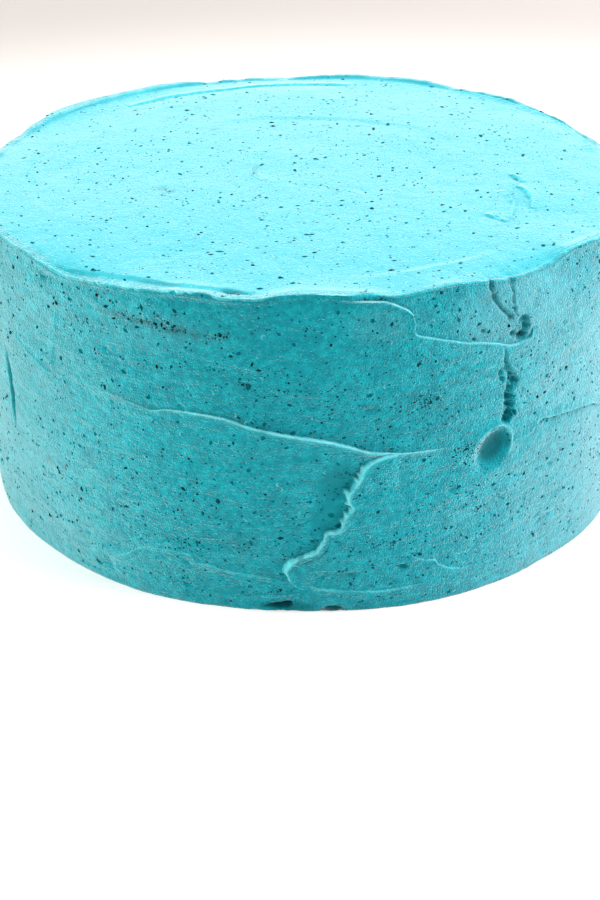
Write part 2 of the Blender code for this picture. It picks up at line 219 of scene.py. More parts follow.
# The lines that the spatula left on the side. "proud" is 1 where the left of the way along the
# path stands out, -1 where the right does. "glow" is how much light shows through the lip, "deep"
# is how much painted shade darkens its low side, and a "joined" line starts out of another one.
sideLines = {
    "longRidge": {
        "path": (
            (-66, 61.4), (-60, 62.7), (-56, 62.7), (-52, 61.8), (-48, 61.2), (-44, 60.6),
            (-39, 61.7), (-32, 61.8), (-23, 61.0), (-16, 58.9), (-6, 56.9), (4, 55.1),
            (10, 53.3), (17, 50.7), (24, 49.8), (31, 49.4), (37, 49.2), (42, 49.8),
        ),
        "step": 1.5, "steep": 0.7, "fade": 10, "proud": -1, "taper": 0.45,
    },
    "lapUnderRim": {
        "path": (
            (8, 96.6), (13, 95.9), (20, 94.9), (24, 93.6), (27, 91.7), (28, 89.5), (28, 86.4),
            (29, 84.8), (34, 83.1), (39, 81.6), (44, 80.1), (49, 79.1), (54, 77.6), (58, 76.2),
            (62, 76.1), (65, 76.9), (66, 78.6), (65.8, 80.5),
        ),
        "step": 1.1, "steep": 0.7, "fade": 8, "proud": -1, "taper": 0.06,
    },
    "scoopRim": {
        "path": (
            (47.0, 47.6), (49.6, 50.2), (53, 52.2), (56.4, 52.6), (59, 50.8), (60.4, 47.8), (60.2, 44.6),
            (58.6, 41.2),
        ),
        "step": 0.25, "steep": 0.8, "fade": 2.5, "proud": 1, "taper": 0.25,
    },
    "tornFin": {
        "path": (
            (25.5, 49.7), (22, 49.4), (18.4, 48.4), (15.6, 46.2), (14.2, 42.6), (12.2, 39.6), (11.2, 37.0),
            (12.4, 33.9), (10.2, 30.8), (9.2, 27.4), (7, 26.3), (5, 26.0), (4, 23.3), (2, 20.1), (-1, 18.6),
            (-4, 16.9), (-6, 14.0), (-5, 10.4), (-2.5, 8.3), (1, 7.6),
        ),
        "step": 2.0, "steep": 1.6, "fade": 10, "ragged": 0.9, "taper": 0.06, "joined": True,
        "lowSideShade": 0.4,
    },
    "ridgeRightOfScoop": {
        "path": (
            (60.6, 46.4), (64, 46.4), (67.4, 47.0), (69.2, 49.2), (71.4, 50.2), (77.8, 49.0), (85.1, 48.0),
            (96.6, 45.6), (103, 43), (118, 41),
        ),
        "step": 1.2, "steep": 0.8, "fade": 8, "ragged": 1.0, "proud": 1, "taper": 0.1, "joined": True,
        "glow": 0.6, "lowSideShade": 1.0,
    },
    "lowRidge": {
        "path": (
            (-64, 8.1), (-56, 11.0), (-50, 15.2), (-44, 16.2), (-35, 16.3), (-33, 14.0),
            (-29, 13.5), (-24, 12.0), (-15, 10.9), (-7, 9.3), (0, 8.2), (4, 7.1), (18, 5.7),
            (25, 5.8), (36, 6.8),
        ),
        "step": 0.5, "steep": 0.7, "fade": 6, "ragged": 0.5, "proud": -1,
    },
    "footLine": {
        "path": ((-21, 3.5), (-14, 4.5), (-8, 4.8), (-2, 5.8), (0, 6.7)),
        "step": 0.3, "steep": 0.6, "fade": 3, "proud": -1,
    },
    "lowRightRidge": {
        "path": ((28, 16.8), (33, 14.0), (36, 13.4), (38, 11.1), (42, 9.3), (46, 8.5), (51, 8.6)),
        "step": 0.5, "steep": 0.7, "fade": 6, "ragged": 0.6, "proud": -1,
    },
    "leftUpright": {
        "path": ((-77, 84.8), (-77, 78.0), (-78, 74.9), (-80, 67.9), (-81, 61.7)),
        "step": 0.25, "steep": 0.8, "fade": 6, "proud": 1, "taper": 0.3,
    },
    "leftSlant": {
        "path": ((-102, 70), (-100, 68.2), (-92, 65.0), (-85, 63.1), (-80, 60)),
        "step": 0.45, "steep": 0.8, "fade": 6, "proud": 1, "taper": 0.3,
    },
    "backLongRidge": {
        "path": (
            (128, 44), (148, 50), (160, 51), (171, 54.5), (190, 58), (200, 57), (212, 54),
            (222, 53), (235, 49), (249, 46.5), (262, 45), (280, 44), (290, 45.5),
        ),
        "step": 1.4, "steep": 0.7, "glow": 0.5, "fade": 9, "proud": -1, "taper": 0.15,
    },
    "backTornFin": {
        "path": ((213, 54), (209, 50), (207, 45), (210, 40), (206, 36), (204, 31), (199, 27), (200, 22)),
        "step": 1.9, "steep": 1.6, "glow": 0.5, "fade": 10, "ragged": 0.9, "taper": 0.06,
    },
    "backLap": {
        "path": (
            (203, 95), (206, 91), (210, 88), (213, 84.5), (221, 82.5), (232, 81), (247, 79),
            (262, 77.5), (275, 77), (288, 76), (296, 77.5), (300, 81),
        ),
        "step": 1.0, "steep": 0.7, "glow": 0.5, "fade": 8, "proud": -1,
    },
    "leftBackRidge": {
        "path": (
            (-140, 49), (-152, 47), (-165, 46), (-178, 46.5), (-190, 49), (-203, 50), (-215, 52),
            (-229, 55.5), (-242, 57), (-256, 57.5), (-270, 60), (-290, 57),
        ),
        "step": 1.3, "steep": 0.7, "glow": 0.5, "fade": 9, "proud": 1, "taper": 0.15,
    },
    "leftBackFin": {
        "path": ((-243, 57.5), (-240, 61), (-238, 65), (-241, 70), (-237, 74), (-236, 78), (-239, 84)),
        "step": 1.7, "steep": 1.5, "glow": 0.5, "fade": 10, "ragged": 0.9, "proud": -1,
    },
    "rightLowRidge": {
        "path": ((112, 15), (125, 13), (140, 14), (152, 12), (165, 13.5), (180, 14), (196, 12), (210, 11)),
        "step": 0.5, "steep": 0.7, "glow": 0.5, "fade": 6, "ragged": 0.6, "proud": -1,
    },
    "backLowRidge": {
        "path": ((226, 9), (240, 8), (255, 10.5), (270, 10), (284, 13), (300, 12), (318, 14.5)),
        "step": 0.45, "steep": 0.7, "glow": 0.5, "fade": 6, "ragged": 0.6, "proud": -1,
    },
    "leftLowRidge": {
        "path": (
            (-124, 11), (-138, 12), (-160, 11), (-176, 9), (-200, 9), (-218, 12), (-235, 12), (-262, 15),
        ),
        "step": 0.5, "steep": 0.7, "glow": 0.5, "fade": 6, "ragged": 0.6, "proud": 1,
    },
}

# Smooth hollows in the side: arc, height, half length, half height, turn, depth
sideHollows = (
    # scraped shoulders under the rim
    (77, 99, 30, 22, 0, 2.6), (42, 97, 24, 15, 0, 1.2), (-2, 98, 15, 8, 0, 1.2),
    (3.5, 11.6, 1.7, 1.3, 0, 0.7), (-62.0, 6.0, 3.2, 3.0, 0, 0.5), (-70, 92.6, 1.2, 0.9, 0, 0.6),
    (-107.0, 48.0, 1.7, 16.0, 6, 1.3),  # groove at the left limb
    (6, 40, 8, 11, -20, 0.6), (-4, 26, 7, 9, -20, 0.4),  # the pull beside the torn fin
    (248.0, 34.0, 8.0, 4.8, -28, 1.8), (-205.0, 31.0, 8.6, 5.0, 20, 1.6), (140.0, 30.0, 2.4, 1.6, 0, 0.9),
    (-150.0, 82.0, 2.2, 1.4, 0, 0.8),
)
# A thumb's scoop: the wall is steep up and to the right, and the bowl runs out to the lower left
thumbScoop = {"centre": (53.2, 44.4), "long": 8.4, "wide": 5.6, "turn": 50, "depth": 2.5}


def scoopRelief(arc, height):
    offA, offB = arc - thumbScoop["centre"][0], height - thumbScoop["centre"][1]
    turn = math.radians(thumbScoop["turn"])
    along = offA * math.cos(turn) + offB * math.sin(turn)
    across = offB * math.cos(turn) - offA * math.sin(turn)
    ratio = np.hypot(along / thumbScoop["long"], across / thumbScoop["wide"])
    towards = rise(along / thumbScoop["long"], -0.7, 0.3)
    crisp = np.clip(1 - ratio**2, 0, 1) ** 0.8
    return -thumbScoop["depth"] * (crisp * towards + bell(ratio) * (1 - towards) * 0.8)


# Torn hollows with steep ragged walls, and the gaps at the foot
tornHollows = (
    (56.3, 72.6, 0.8, 2.4, 0, 0.8), (57.0, 69.6, 1.0, 2.3, 20, 1.1), (58.5, 67.6, 1.4, 1.8, 25, 1.7),
    (55.0, 69.2, 0.7, 1.4, -20, 0.8), (55.7, 66.8, 0.9, 1.2, 25, 0.9),
    (59.6, 65.4, 1.3, 1.5, 0, 1.8), (58.4, 63.4, 1.7, 1.2, 10, 1.5),
    (58.3, 60.6, 1.9, 1.8, 0, 2.0), (58.9, 58.0, 1.8, 1.7, 0, 2.0), (59.0, 55.6, 1.7, 1.6, 0, 2.1),
    (58.2, 53.4, 2.1, 1.6, 20, 2.2), (53.4, 51.6, 1.6, 0.7, 35, 0.8), (57.6, 61.0, 1.1, 8.4, -3, 1.0),
    (62.4, 83.0, 2.1, 1.7, 0, 1.6), (63.6, 80.8, 1.7, 1.6, 0, 1.8), (62.2, 78.4, 2.3, 1.5, 20, 2.2),
    (59.0, 79.6, 0.9, 0.8, 0, 1.1), (48.8, 82.6, 1.1, 1.0, 0, 1.0), (46.0, 80.8, 1.0, 0.8, 0, 0.9),
    (51.8, 94.4, 1.2, 1.6, 10, 1.0), (52.9, 92.0, 0.9, 2.2, 10, 1.1), (54.2, 89.4, 0.9, 2.0, 20, 1.0),
    (56.2, 87.0, 1.3, 1.2, 40, 1.0), (57.8, 85.2, 1.4, 1.0, 35, 1.0), (58.2, 95.0, 2.0, 0.6, 10, 0.7),
    (59.2, 92.6, 0.6, 2.0, 0, 0.8), (59.0, 89.6, 0.6, 2.0, 0, 0.7), (59.4, 86.4, 0.6, 1.6, 0, 0.6),
    (-9.6, 1.3, 5.0, 1.7, 0, 3.0), (-6.6, 1.9, 2.6, 1.5, 10, 3.0), (6.6, 0.8, 3.4, 1.1, 0, 2.6),
    (27.0, 13.2, 1.8, 1.0, 0, 1.2), (-81.0, 92.2, 1.8, 1.2, 0, 0.9), (-66, 4.4, 1.2, 0.9, 0, 0.6),
    (176.0, 74.0, 1.6, 1.8, 0, 1.4), (175.0, 70.6, 2.0, 1.5, 0, 1.6), (177.0, 67.0, 1.6, 1.7, 0, 1.4),
    (-268.0, 74.0, 2.4, 1.7, 0, 1.5), (-264.0, 77.0, 1.4, 1.1, 0, 1.1), (262.0, 1.2, 6.0, 1.5, 0, 2.2),
    (-168.0, 1.2, 5.0, 1.4, 0, 2.1), (120.0, 1.0, 4.0, 1.2, 0, 1.7),
)

# Cracks: the path that each follows, its half width and depth
cracks = (
    (((51.4, 96.4), (52.0, 93.6), (53.0, 91.0), (54.6, 88.6), (56.6, 86.4), (58.4, 84.6)), 0.85, 1.1),
    (((58.6, 95.2), (59.2, 92.0), (59.0, 88.6), (59.5, 85.6)), 0.45, 0.7),
    (((56.0, 76.0), (56.5, 73.0), (57.2, 70.4), (58.4, 68.4), (58.8, 65.6)), 0.6, 1.1),
    (((59.8, 69.0), (60.3, 64.0), (60.2, 59.0), (59.8, 54.0)), 0.35, 0.5),
    (((174, 78), (175.4, 74), (176.6, 70), (176, 66)), 0.7, 1.0),
    (((-270, 78), (-267, 75), (-263, 73.4)), 0.6, 0.9),
)


def crackRelief(arc, height, wobble):
    total = np.zeros(arc.shape)
    for path, half, depth in cracks:
        middle = path[len(path) // 2]
        beside = np.abs(wrapped(arc - middle[0])) < 12
        near = np.flatnonzero(beside & (np.abs(height - middle[1]) < 14))
        signed, share = alongPath(arc[near], height[near], path)
        wide = half * (1 + 0.7 * wobble[near]).clip(0.3, 2)
        wide = wide * rise(np.minimum(share, 1 - share), -0.04, 0.12)
        total[near] = np.minimum(total[near], -depth * rise(1 - np.abs(signed) / wide, 0, 0.6))
    return total


# Where the side stands in or out at the foot, and where the rim rises or sinks
footSwell = (
    (-136, 0.4), (-107, -0.2), (-85, -0.4), (-50, 0.7), (-25, -0.2), (0, -0.7), (18, -0.1),
    (38, 0.2), (60, 0.4), (75, -0.2), (96, 1.0), (135, 0.2), (190, -0.5), (250, 0.6),
    (-320, -0.3), (-250, 0.5), (-190, -0.4),
)
rimRise = (
    (-103, -0.2), (-92, 0.0), (-81, -1.3), (-74, -2.0), (-65, -1.5), (-58, -1.0), (-52, -0.5),
    (-43, 0.0), (-29, 0.8), (-20, 0.5), (-13, 0.6), (-2, 2.0), (5, 1.6), (11, 1.1), (24, 0.0),
    (36, 0.2), (42, 0.2), (51, -0.5), (60, -1.6), (67, -1.7), (76, -0.9), (83, 0.7), (130, 0.2),
    (197, -3.6), (210, -3.0), (220, -2.2), (231, -1.2), (240, -0.4), (258, -0.2), (265, -0.3),
    (275, 0.3), (290, 0.9), (303, 0.5), (-325, -0.4), (-290, -0.3), (-278, 0.8), (-270, 1.2),
    (-250, 1.4), (-227, 1.8), (-217, 0.7), (-204, -0.9), (-190, -0.8), (-140, 0.3),
)
# How far the rim's lip curls out over the side
rimLip = (
    (-120, 0.3), (-103, 0.5), (-85, 0.6), (-70, 0.7), (-50, 0.75), (-35, 0.8), (-20, 0.9),
    (-12, 0.6), (0, 0.5), (12, 0.6), (25, 0.3), (40, 0.1), (55, 0.0), (70, 0.15), (90, 0.3),
    (130, 0.4), (180, 0.6), (230, 0.25), (270, 0.6), (310, 0.3), (-300, 0.6), (-260, 0.4),
    (-220, 0.7), (-170, 0.3),
)

# Marks on the top: ledges, then hollows
topLines = {
    "frontCrease": {
        "path": (
            (-76, -68), (-68, -75), (-61, -79), (-56, -80.5), (-50, -84), (-47, -85), (-42, -88),
            (-36, -91), (-31, -92.5), (-26, -94), (-20, -95.5), (-14, -99),
        ),
        "step": -0.6, "steep": 0.9, "fade": 4.5, "proud": -1, "taper": 0.12,
    },
    "middleArc": {
        "path": ((-17.6, 19), (-16.8, 11), (-16.2, 4), (-16.4, -2.7), (-14.6, -7.6), (-12.6, -11)),
        "step": -0.35, "steep": 1.6, "fade": 5, "taper": 0.3,
    },
    "rightArc": {
        "path": ((63.4, -17), (66, -20), (67.4, -25), (67.3, -31), (65.6, -36.5)),
        "step": 0.5, "steep": 1.2, "fade": 4, "ragged": 0.9,
    },
    "rightInnerArc": {
        "path": ((59.6, -20), (60.6, -25.4), (61.2, -32), (59.8, -39), (59.2, -43), (61, -43.8)),
        "step": 0.4, "steep": 1.2, "fade": 3, "ragged": 0.9, "proud": -1,
    },
    "rightMark": {
        "path": ((62.6, -6.6), (64.6, -8.4), (65.8, -11), (66, -14.4)),
        "step": 0.5, "steep": 1.0, "fade": 3, "ragged": 0.8, "taper": 0.2,
    },
    "rightDash": {
        "path": ((51.6, -41), (54, -43), (56.4, -46), (57.6, -48)),
        "step": 0.5, "steep": 1.0, "fade": 3, "ragged": 0.8, "taper": 0.2,
    },
    "rightBackLip": {
        "path": ((50, 83), (60, 77), (70, 68), (78, 59), (85, 48), (89, 38), (92, 27), (93, 14)),
        "step": 0.7, "steep": 1.4, "fade": 4, "proud": -1,
    },
    "backCrease": {
        "path": ((-62, 66), (-48, 77), (-33, 84), (-16, 90), (2, 91), (18, 90)),
        "step": 0.45, "steep": 1.4, "fade": 4, "proud": 1,
    },
    "leftSwirl": {
        "path": ((-84, 26), (-86, 8), (-85, -10), (-80, -27), (-72, -41)),
        "step": 0.35, "steep": 1.6, "fade": 5, "proud": -1, "taper": 0.3,
    },
    "smoothing": {
        "path": ((-40, 44), (-14, 52), (14, 50), (38, 38), (50, 22)),
        "step": 0.28, "steep": 2.4, "fade": 9, "proud": 1, "taper": 0.35,
    },
    "frontSmoothing": {
        "path": ((8, -88), (24, -84), (42, -76), (58, -64)),
        "step": 0.3, "steep": 2.0, "fade": 6, "proud": -1, "taper": 0.3,
    },
}
topHollows = (
    (-20.5, -96.6, 3.4, 1.7, -28, 0.9), (-16, -98.4, 3.0, 1.2, -20, 0.6),  # pocket behind the lip
    (-43.6, -17.4, 2.6, 1.6, -25, 0.7), (-40.6, -21, 1.6, 1.4, 0, 0.5), (66.4, -27, 1.4, 2.6, 0, 0.5),
    (65, -10.6, 1.6, 2.6, 20, 0.6), (54.6, -44, 2.6, 1.3, -40, 0.6), (60.4, -33, 1.1, 3.0, 0, 0.4),
    (17, -20, 1.2, 3.4, 10, 0.35), (-30, 40, 1.6, 1.2, 0, 0.4), (30, 60, 2.0, 1.4, 0, 0.4),
)

# Pressed smooth on the top, and painted darker as shade: x, y, half length, half width, turn in degrees,
# share
pressedShadeOnTop = (
    (65.2, -10.6, 4.2, 1.1, -70, 0.8), (67.0, -26, 7.5, 0.9, -88, 0.5), (60.7, -32, 9, 0.8, -92, 0.35),
    (55.0, -44.6, 4.4, 1.1, -48, 0.8), (58.4, -19.7, 2.8, 0.7, 8, 0.4), (-42.8, -18.8, 3.6, 1.8, -30, 0.55),
    (-41, -24, 3.4, 1.2, -20, 0.3), (-15.9, 0, 9, 0.9, -84, 0.35), (-19.5, -96.8, 4.4, 1.4, -24, 0.75),
    (-30, 40, 1.8, 1.2, 0, 0.5), (30, 60, 2.4, 1.2, 20, 0.4), (-62, -79, 9, 1.2, -34, 0.35),
    (-40, -89.6, 9, 1.2, -24, 0.4),
)
# How high the cream stands in a ridge just inside the rim: arc, height
rimRidge = (
    (-112, 0.05), (-128, 0.5), (-180, 0.8), (-250, 0.6), (-300, 0.8), (280, 0.7), (240, 1.0), (190, 0.9),
    (150, 0.9), (128, 0.6), (112, 0.1), (95, 0), (-95, 0), (0, 0),
)


def ridgeInside(arc):
    return around(arc, rimRidge) * (1 + 0.6 * rimRag(arc)).clip(0.2, 2)


# The unevenness of spread cream: cell length, cell height, depth and seed of each layer
creamLayers = (
    (46, 30, 0.42, 3), (17, 8, 0.26, 5), (7, 2.6, 0.12, 7), (2.6, 1.3, 0.07, 11), (1.1, 0.9, 0.06, 13),
)
drags = {"long": 8.0, "tall": 0.75, "depth": 0.09, "seed": 17}  # fine grooves along the strokes
pits = {"count": 900, "least": 0.55, "most": 1.6, "depth": 0.5, "seed": 23}


# Seeded small pits, where crumbs dragged or air bubbles burst
def sidePits():
    random = np.random.default_rng(pits["seed"])
    size = pits["least"] + (pits["most"] - pits["least"]) * random.random(pits["count"]) ** 4
    return zip(
        random.uniform(-girth / 2, girth / 2, pits["count"]),
        random.uniform(3, cake["height"] - 4, pits["count"]),
        size * random.uniform(1.0, 1.7, pits["count"]),
        size * random.uniform(0.6, 0.9, pits["count"]),
        random.uniform(-20, 20, pits["count"]),
        pits["depth"] * size * random.uniform(0.4, 1.0, pits["count"]),
    )


# How far the frosting stands out from the plain drum at a place on the side
def sideRelief(arc, height, without=None):
    relief = around(arc, footSwell) * np.clip(1 - height / cake["height"], 0, 1)
    for cellLength, cellHeight, depth, seed in creamLayers:
        relief = relief + depth * sideNoise(arc, height, cellLength, cellHeight, seed)
    dragged = rise(sideNoise(arc, height, 26, 14, drags["seed"]), -0.3, 0.5)
    grooves = rise(sideNoise(arc, height, drags["long"], drags["tall"], drags["seed"] + 1), 0.15, 0.75)
    relief = relief - drags["depth"] * dragged * grooves
    wobble = sideNoise(arc, height, 3.2, 2.6, 31) + 0.6 * sideNoise(arc, height, 1.5, 1.2, 37)
    lines = [line for name, line in sideLines.items() if name != without]
    relief = relief + ledges(arc, height, lines, wobble)
    relief = relief + hollows(arc, height, sideHollows)
    relief = relief + scoopRelief(arc, height)
    torn = hollows(arc, height, tornHollows, wobble=0.32 * wobble, wall=0.6, merged=True)
    relief = relief + np.minimum(torn, crackRelief(arc, height, wobble))
    relief = relief - cake["leanIn"] * rise(height, 76, 97)
    for pit in sidePits():
        near = np.flatnonzero(np.abs(wrapped(arc - pit[0])) < 2 * pit[2])
        near = near[np.abs(height[near] - pit[1]) < 2 * pit[2]]
        relief[near] += hollows(arc[near], height[near], [pit])
    return relief


# How far the top stands above the plain drum's top
def topRelief(x, y, without=None):
    wobble = topNoise(x, y, 3.2, 3.2, 41) + 0.6 * topNoise(x, y, 1.5, 1.5, 43)
    relief = 0.30 * topNoise(x, y, 34, 38, 47) + 0.11 * topNoise(x, y, 11, 14, 53)
    relief = relief + 0.05 * topNoise(x, y, 4.4, 5.6, 59) + 0.03 * topNoise(x, y, 2.1, 2.6, 61)
    lines = [line for name, line in topLines.items() if name != without]
    relief = relief + ledges(x, y, lines, wobble, wraps=False)
    relief = relief + ridgeInside(arcOf(x, y)) * np.exp(-(((np.hypot(x, y) - 100.8) / 1.2) ** 2))
    return relief + hollows(x, y, topHollows, wraps=False)


# Ragged noise along the rim, how far the rim stands up there, and how far its lip curls out
def rimRag(arc):
    return rimNoise(arc, 9, 71) + 0.5 * rimNoise(arc, 2.6, 73)


def rimLift(arc):
    return around(arc, rimRise) + cake["rimRagged"] * rimRag(arc)


def lipOut(arc):
    return np.clip(around(arc, rimLip) * (1 + 0.45 * rimRag(arc)), 0, None)


# The finer sheet that lies over the drum where the blade last went, round the front
sheet = {"reach": 112, "top": 94.7, "fine": 0.42, "coarse": 0.62, "rows": 201, "drumSunk": 2.4}


# Radius and height of the frosted side at a place, once the foot, relief, lip and rim have moved
# it. The drum itself is sunk where the sheet covers it.
def sideSurface(arc, rest, sunk=False, without=None):
    height, rim = cake["height"], cake["rimRound"]
    lip = lipOut(arc)
    out = sideRelief(arc, np.minimum(rest, height - rim), without)
    out += lip * np.exp(-(((rest - (height - 0.35 * rim)) / 1.15) ** 2))
    out -= 0.12 * lip * np.exp(-(((rest - (height - 2.4)) / 0.9) ** 2))
    if sunk:
        inside = rise(sheet["reach"] - np.abs(arc), 1.5, 4) * rise(sheet["top"] - rest, 2.2, 4.5)
        out -= sheet["drumSunk"] * inside
    lift = rimLift(arc) * rise(rest, height - 16, height)
    return eased(cake["radius"] + out, widest(arc)), rest + lift * rise(rest, 0, 1.2)


# Arc of a column once the columns crowd towards the finest relief
def crowded(arc):
    ring = np.linspace(-girth / 2, girth / 2, 8001)
    density = np.full(ring.shape, 0.8)
    for centre, reach, gain in cake["frontCrowding"]:
        density += gain * np.exp(-(((ring - centre) / reach) ** 4))
    share = np.concatenate([[0], np.cumsum((density[1:] + density[:-1]) / 2)])
    return np.interp(arc / girth + 0.5, share / share[-1], ring)


# The rows of the side crowd towards three lines that follow the main ridges round the cake
courses = (
    (0.0, ((0, 0.0),)),
    (10.0, (
        (-64, 8.1), (-56, 11), (-50, 15.2), (-35, 16.3), (-24, 12.0), (-7, 9.3), (11, 6.9),
        (25, 6.2), (36, 7.2), (51, 8.6), (112, 15), (140, 14), (180, 14), (210, 11), (240, 8),
        (270, 10), (300, 12), (-262, 15), (-235, 12), (-200, 9), (-138, 12),
    )),
    (53.0, (
        (-66, 61.4), (-56, 62.7), (-44, 60.6), (-36, 62.0), (-23, 61.0), (-6, 56.9), (4, 55.1),
        (17, 50.7), (31, 49.4), (42, 49.8), (54, 46.5), (69, 48.4), (86, 47.5), (103, 42.5),
        (128, 44), (148, 50), (190, 58), (212, 54), (235, 49), (262, 45), (290, 45.5),
        (-290, 57), (-270, 60), (-242, 57), (-215, 52), (-190, 49), (-165, 46), (-140, 49),
    )),
    (80.0, (
        (-100, 78), (-60, 82), (0, 84), (20, 88), (28, 86.4), (34, 83.1), (44, 80.1), (54, 77.6),
        (62, 76.1), (69, 79.5), (90, 82), (140, 76), (200, 84), (213, 84.5), (232, 81),
        (262, 77.5), (288, 76), (-310, 74), (-240, 80), (-170, 77),
    )),
    (95.2, ((0, 95.2),)),
)
rowGuards = np.array([0, 0.35, 0.75, 1.3, 2.1, 3.1])
rowSpacing = 1.12


# Rest heights of the rows: guard rows on both sides of each line, even rows between
def rowHeights():
    means = [course[0] for course in courses]
    rows = []
    for low, high in zip(means, means[1:]):
        lowGuards = low + rowGuards if low > 0 else np.array([0, 0.5])
        highGuards = high - rowGuards[:0:-1] if high < means[-1] else np.array([high - 0.6])
        count = max(1, round((highGuards[0] - lowGuards[-1]) / rowSpacing))
        middle = np.linspace(lowGuards[-1], highGuards[0], count + 1)[1:-1]
        rows += [*lowGuards, *middle, *highGuards]
    return np.array(rows + [means[-1]])


# Heights once the rows follow the lines: a guard row keeps its distance, the rest stretch
def followCourses(arc, height):
    means = np.array([course[0] for course in courses])
    lines = np.array([around(arc, course[1]) for course in courses])
    course = np.clip(np.searchsorted(means, height, side="right") - 1, 0, len(means) - 2)
    share = (height - means[course]) / (means[course + 1] - means[course])
    point = np.arange(len(arc))
    low, high = lines[course, point], lines[course + 1, point]
    return low + share * (high - low)


# The frosted drum as one closed grid. Rows go up the side, round the rim on a quarter circle,
# and on to the top, which is a square grid turned into a disc: ring k of it holds 8k points.
# The relief moves a side point outwards and a top point upwards.
def creamGrid():
    columns, half = cake["columns"], cake["columns"] // 8
    radius, height, rim = cake["radius"], cake["height"], cake["rimRound"]
    evenArc = (np.arange(columns) / columns - 0.5) * girth
    heights = rowHeights()
    turns = np.radians(np.linspace(0, 90, 7))[1:-1]
    rowIn = np.concatenate([np.zeros(len(heights)), rim * (1 - np.cos(turns))])
    rowUp = np.concatenate([heights, height - rim + rim * np.sin(turns)])
    onRim = np.concatenate([np.zeros(len(heights)), np.sin(turns)])
    rows = len(rowUp)
    arc = np.tile(crowded(evenArc), rows)
    up = np.repeat(rowUp, columns)
    bend = np.repeat(onRim, columns)
    inward = np.repeat(rowIn, columns)
    up = np.where(bend > 0, up, followCourses(arc, np.clip(up, 0, courses[-1][0])))

    side = 2 * half + 1
    gridA, gridB = np.meshgrid(np.arange(side) - half, np.arange(side) - half, indexing="ij")
    gridA, gridB = gridA.ravel().astype(float), gridB.ravel().astype(float)
    wide = np.abs(gridA) > np.abs(gridB)
    ring = np.where(wide, gridA, gridB)
    safe = np.where(ring == 0, 1, ring)
    turn = np.where(wide, math.pi / 4 * gridB / safe, math.pi / 2 - math.pi / 4 * gridA / safe)
    discX, discY = ring * np.cos(turn), ring * np.sin(turn)
    share = np.hypot(discX, discY) / half
    crowd = cake["topCrowding"]
    topRadius = (radius - rim) * ((1 + crowd) * share - crowd * share**2)
    topArc = crowded(np.arctan2(discX, -discY) / (2 * math.pi) * girth)
    edge = np.round((np.arctan2(discX, -discY) / (2 * math.pi) + 0.5) * columns)
    edgeIds = np.flatnonzero(np.maximum(np.abs(gridA), np.abs(gridB)) == half)
    rimIds = np.empty(columns, int)
    rimIds[edge[edgeIds].astype(int) % columns] = edgeIds

    allArc = np.concatenate([arc, topArc])
    out = np.concatenate([radius - inward, topRadius])
    rest = np.concatenate([up, np.full(topArc.shape, height)])
    bend = np.concatenate([bend, np.ones(topArc.shape)])
    nearRim = nearRimShare(out)
    angle = allArc / radius
    x, y = out * np.sin(angle), -out * np.cos(angle)
    sideOut, sideUp = sideSurface(allArc, rest, sunk=True)
    plain = bend == 0
    lip = lipOut(allArc)
    acrossRim = (radius - rim - out) + 0.65 * rim
    lipShape = np.exp(-((acrossRim / 1.15) ** 2)) * (bend > 0)
    lift = rimLift(allArc) * nearRim
    rimOut = sideRelief(allArc, np.minimum(rest, height - rim)) * nearRim + lip * lipShape
    rimUp = topRelief(x, y) * bend + 0.45 * lip * lipShape
    out = np.where(plain, sideOut, out + rimOut)
    level = np.where(plain, sideUp, rest + rimUp + lift)
    out, level = eased(out, widest(allArc)), eased(level, cake["highest"])
    points = roundPoints(allArc, out, level)

    grid = np.arange(rows * columns).reshape(rows, columns)
    topGrid = rows * columns + np.arange(side * side).reshape(side, side)
    loopRim = rows * columns + rimIds
    grid = np.concatenate([grid, loopRim[None]])
    following = np.roll(grid, -1, axis=1)
    sideFaces = np.stack([grid[:-1], following[:-1], following[1:], grid[1:]], axis=-1).reshape(-1, 4)
    topFaces = np.stack(
        [topGrid[:-1, :-1], topGrid[1:, :-1], topGrid[1:, 1:], topGrid[:-1, 1:]], axis=-1
    ).reshape(-1, 4)
    return points, sideFaces, topFaces, grid[0], allArc, rest


# Puts arrays into a mesh: points in millimetres, quads or triangles, and an optional last face
def meshFrom(name, points, faces, cap=None, smooth=True):
    mesh = bpy.data.meshes.new(name)
    listed = [tuple(int(i) for i in face) for face in faces]
    if cap is not None:
        listed.append(tuple(int(i) for i in cap))
    mesh.from_pydata(np.asarray(points) * mm, [], listed)
    mesh.polygons.foreach_set("use_smooth", np.full(len(mesh.polygons), smooth))
    mesh.update()
    piece = bpy.data.objects.new(name, mesh)
    bpy.context.scene.collection.objects.link(piece)
    return piece


# Gives every point of a mesh a number that the material reads
def setShare(mesh, name, values):
    mesh.attributes.new(name, "FLOAT", "POINT").data.foreach_set("value", values)


# The point at each corner of each face
def cornerPoints(mesh):
    corners = np.empty(len(mesh.loops), int)
    mesh.loops.foreach_get("vertex_index", corners)
    return corners


# The stroke map: each face corner's place along and across the blade's way, in metres
def setStrokes(mesh, along, across):
    strokeMap = mesh.uv_layers.new(name="stroke")
    strokeMap.data.foreach_set("uv", (np.stack([along, across], axis=1) * mm).ravel())


# One node with its settings and links; a key is a property's or an input's name or number
def addNode(tree, kind, settings=None, links=None):
    node = tree.nodes.new("ShaderNode" + kind)
    for key, value in (settings or {}).items():
        if isinstance(key, str) and hasattr(node, key):
            setattr(node, key, value)
        else:
            node.inputs[key].default_value = value
    for key, source in (links or {}).items():
        tree.links.new(source, node.inputs[key])
    return node


# Noise with lumps of a stated size in mm
def noise(tree, where, size, detail, more=None):
    settings = {"Scale": 1000 / size, "Detail": detail, **(more or {})}
    return addNode(tree, "TexNoise", settings, {"Vector": where}).outputs["Fac"]


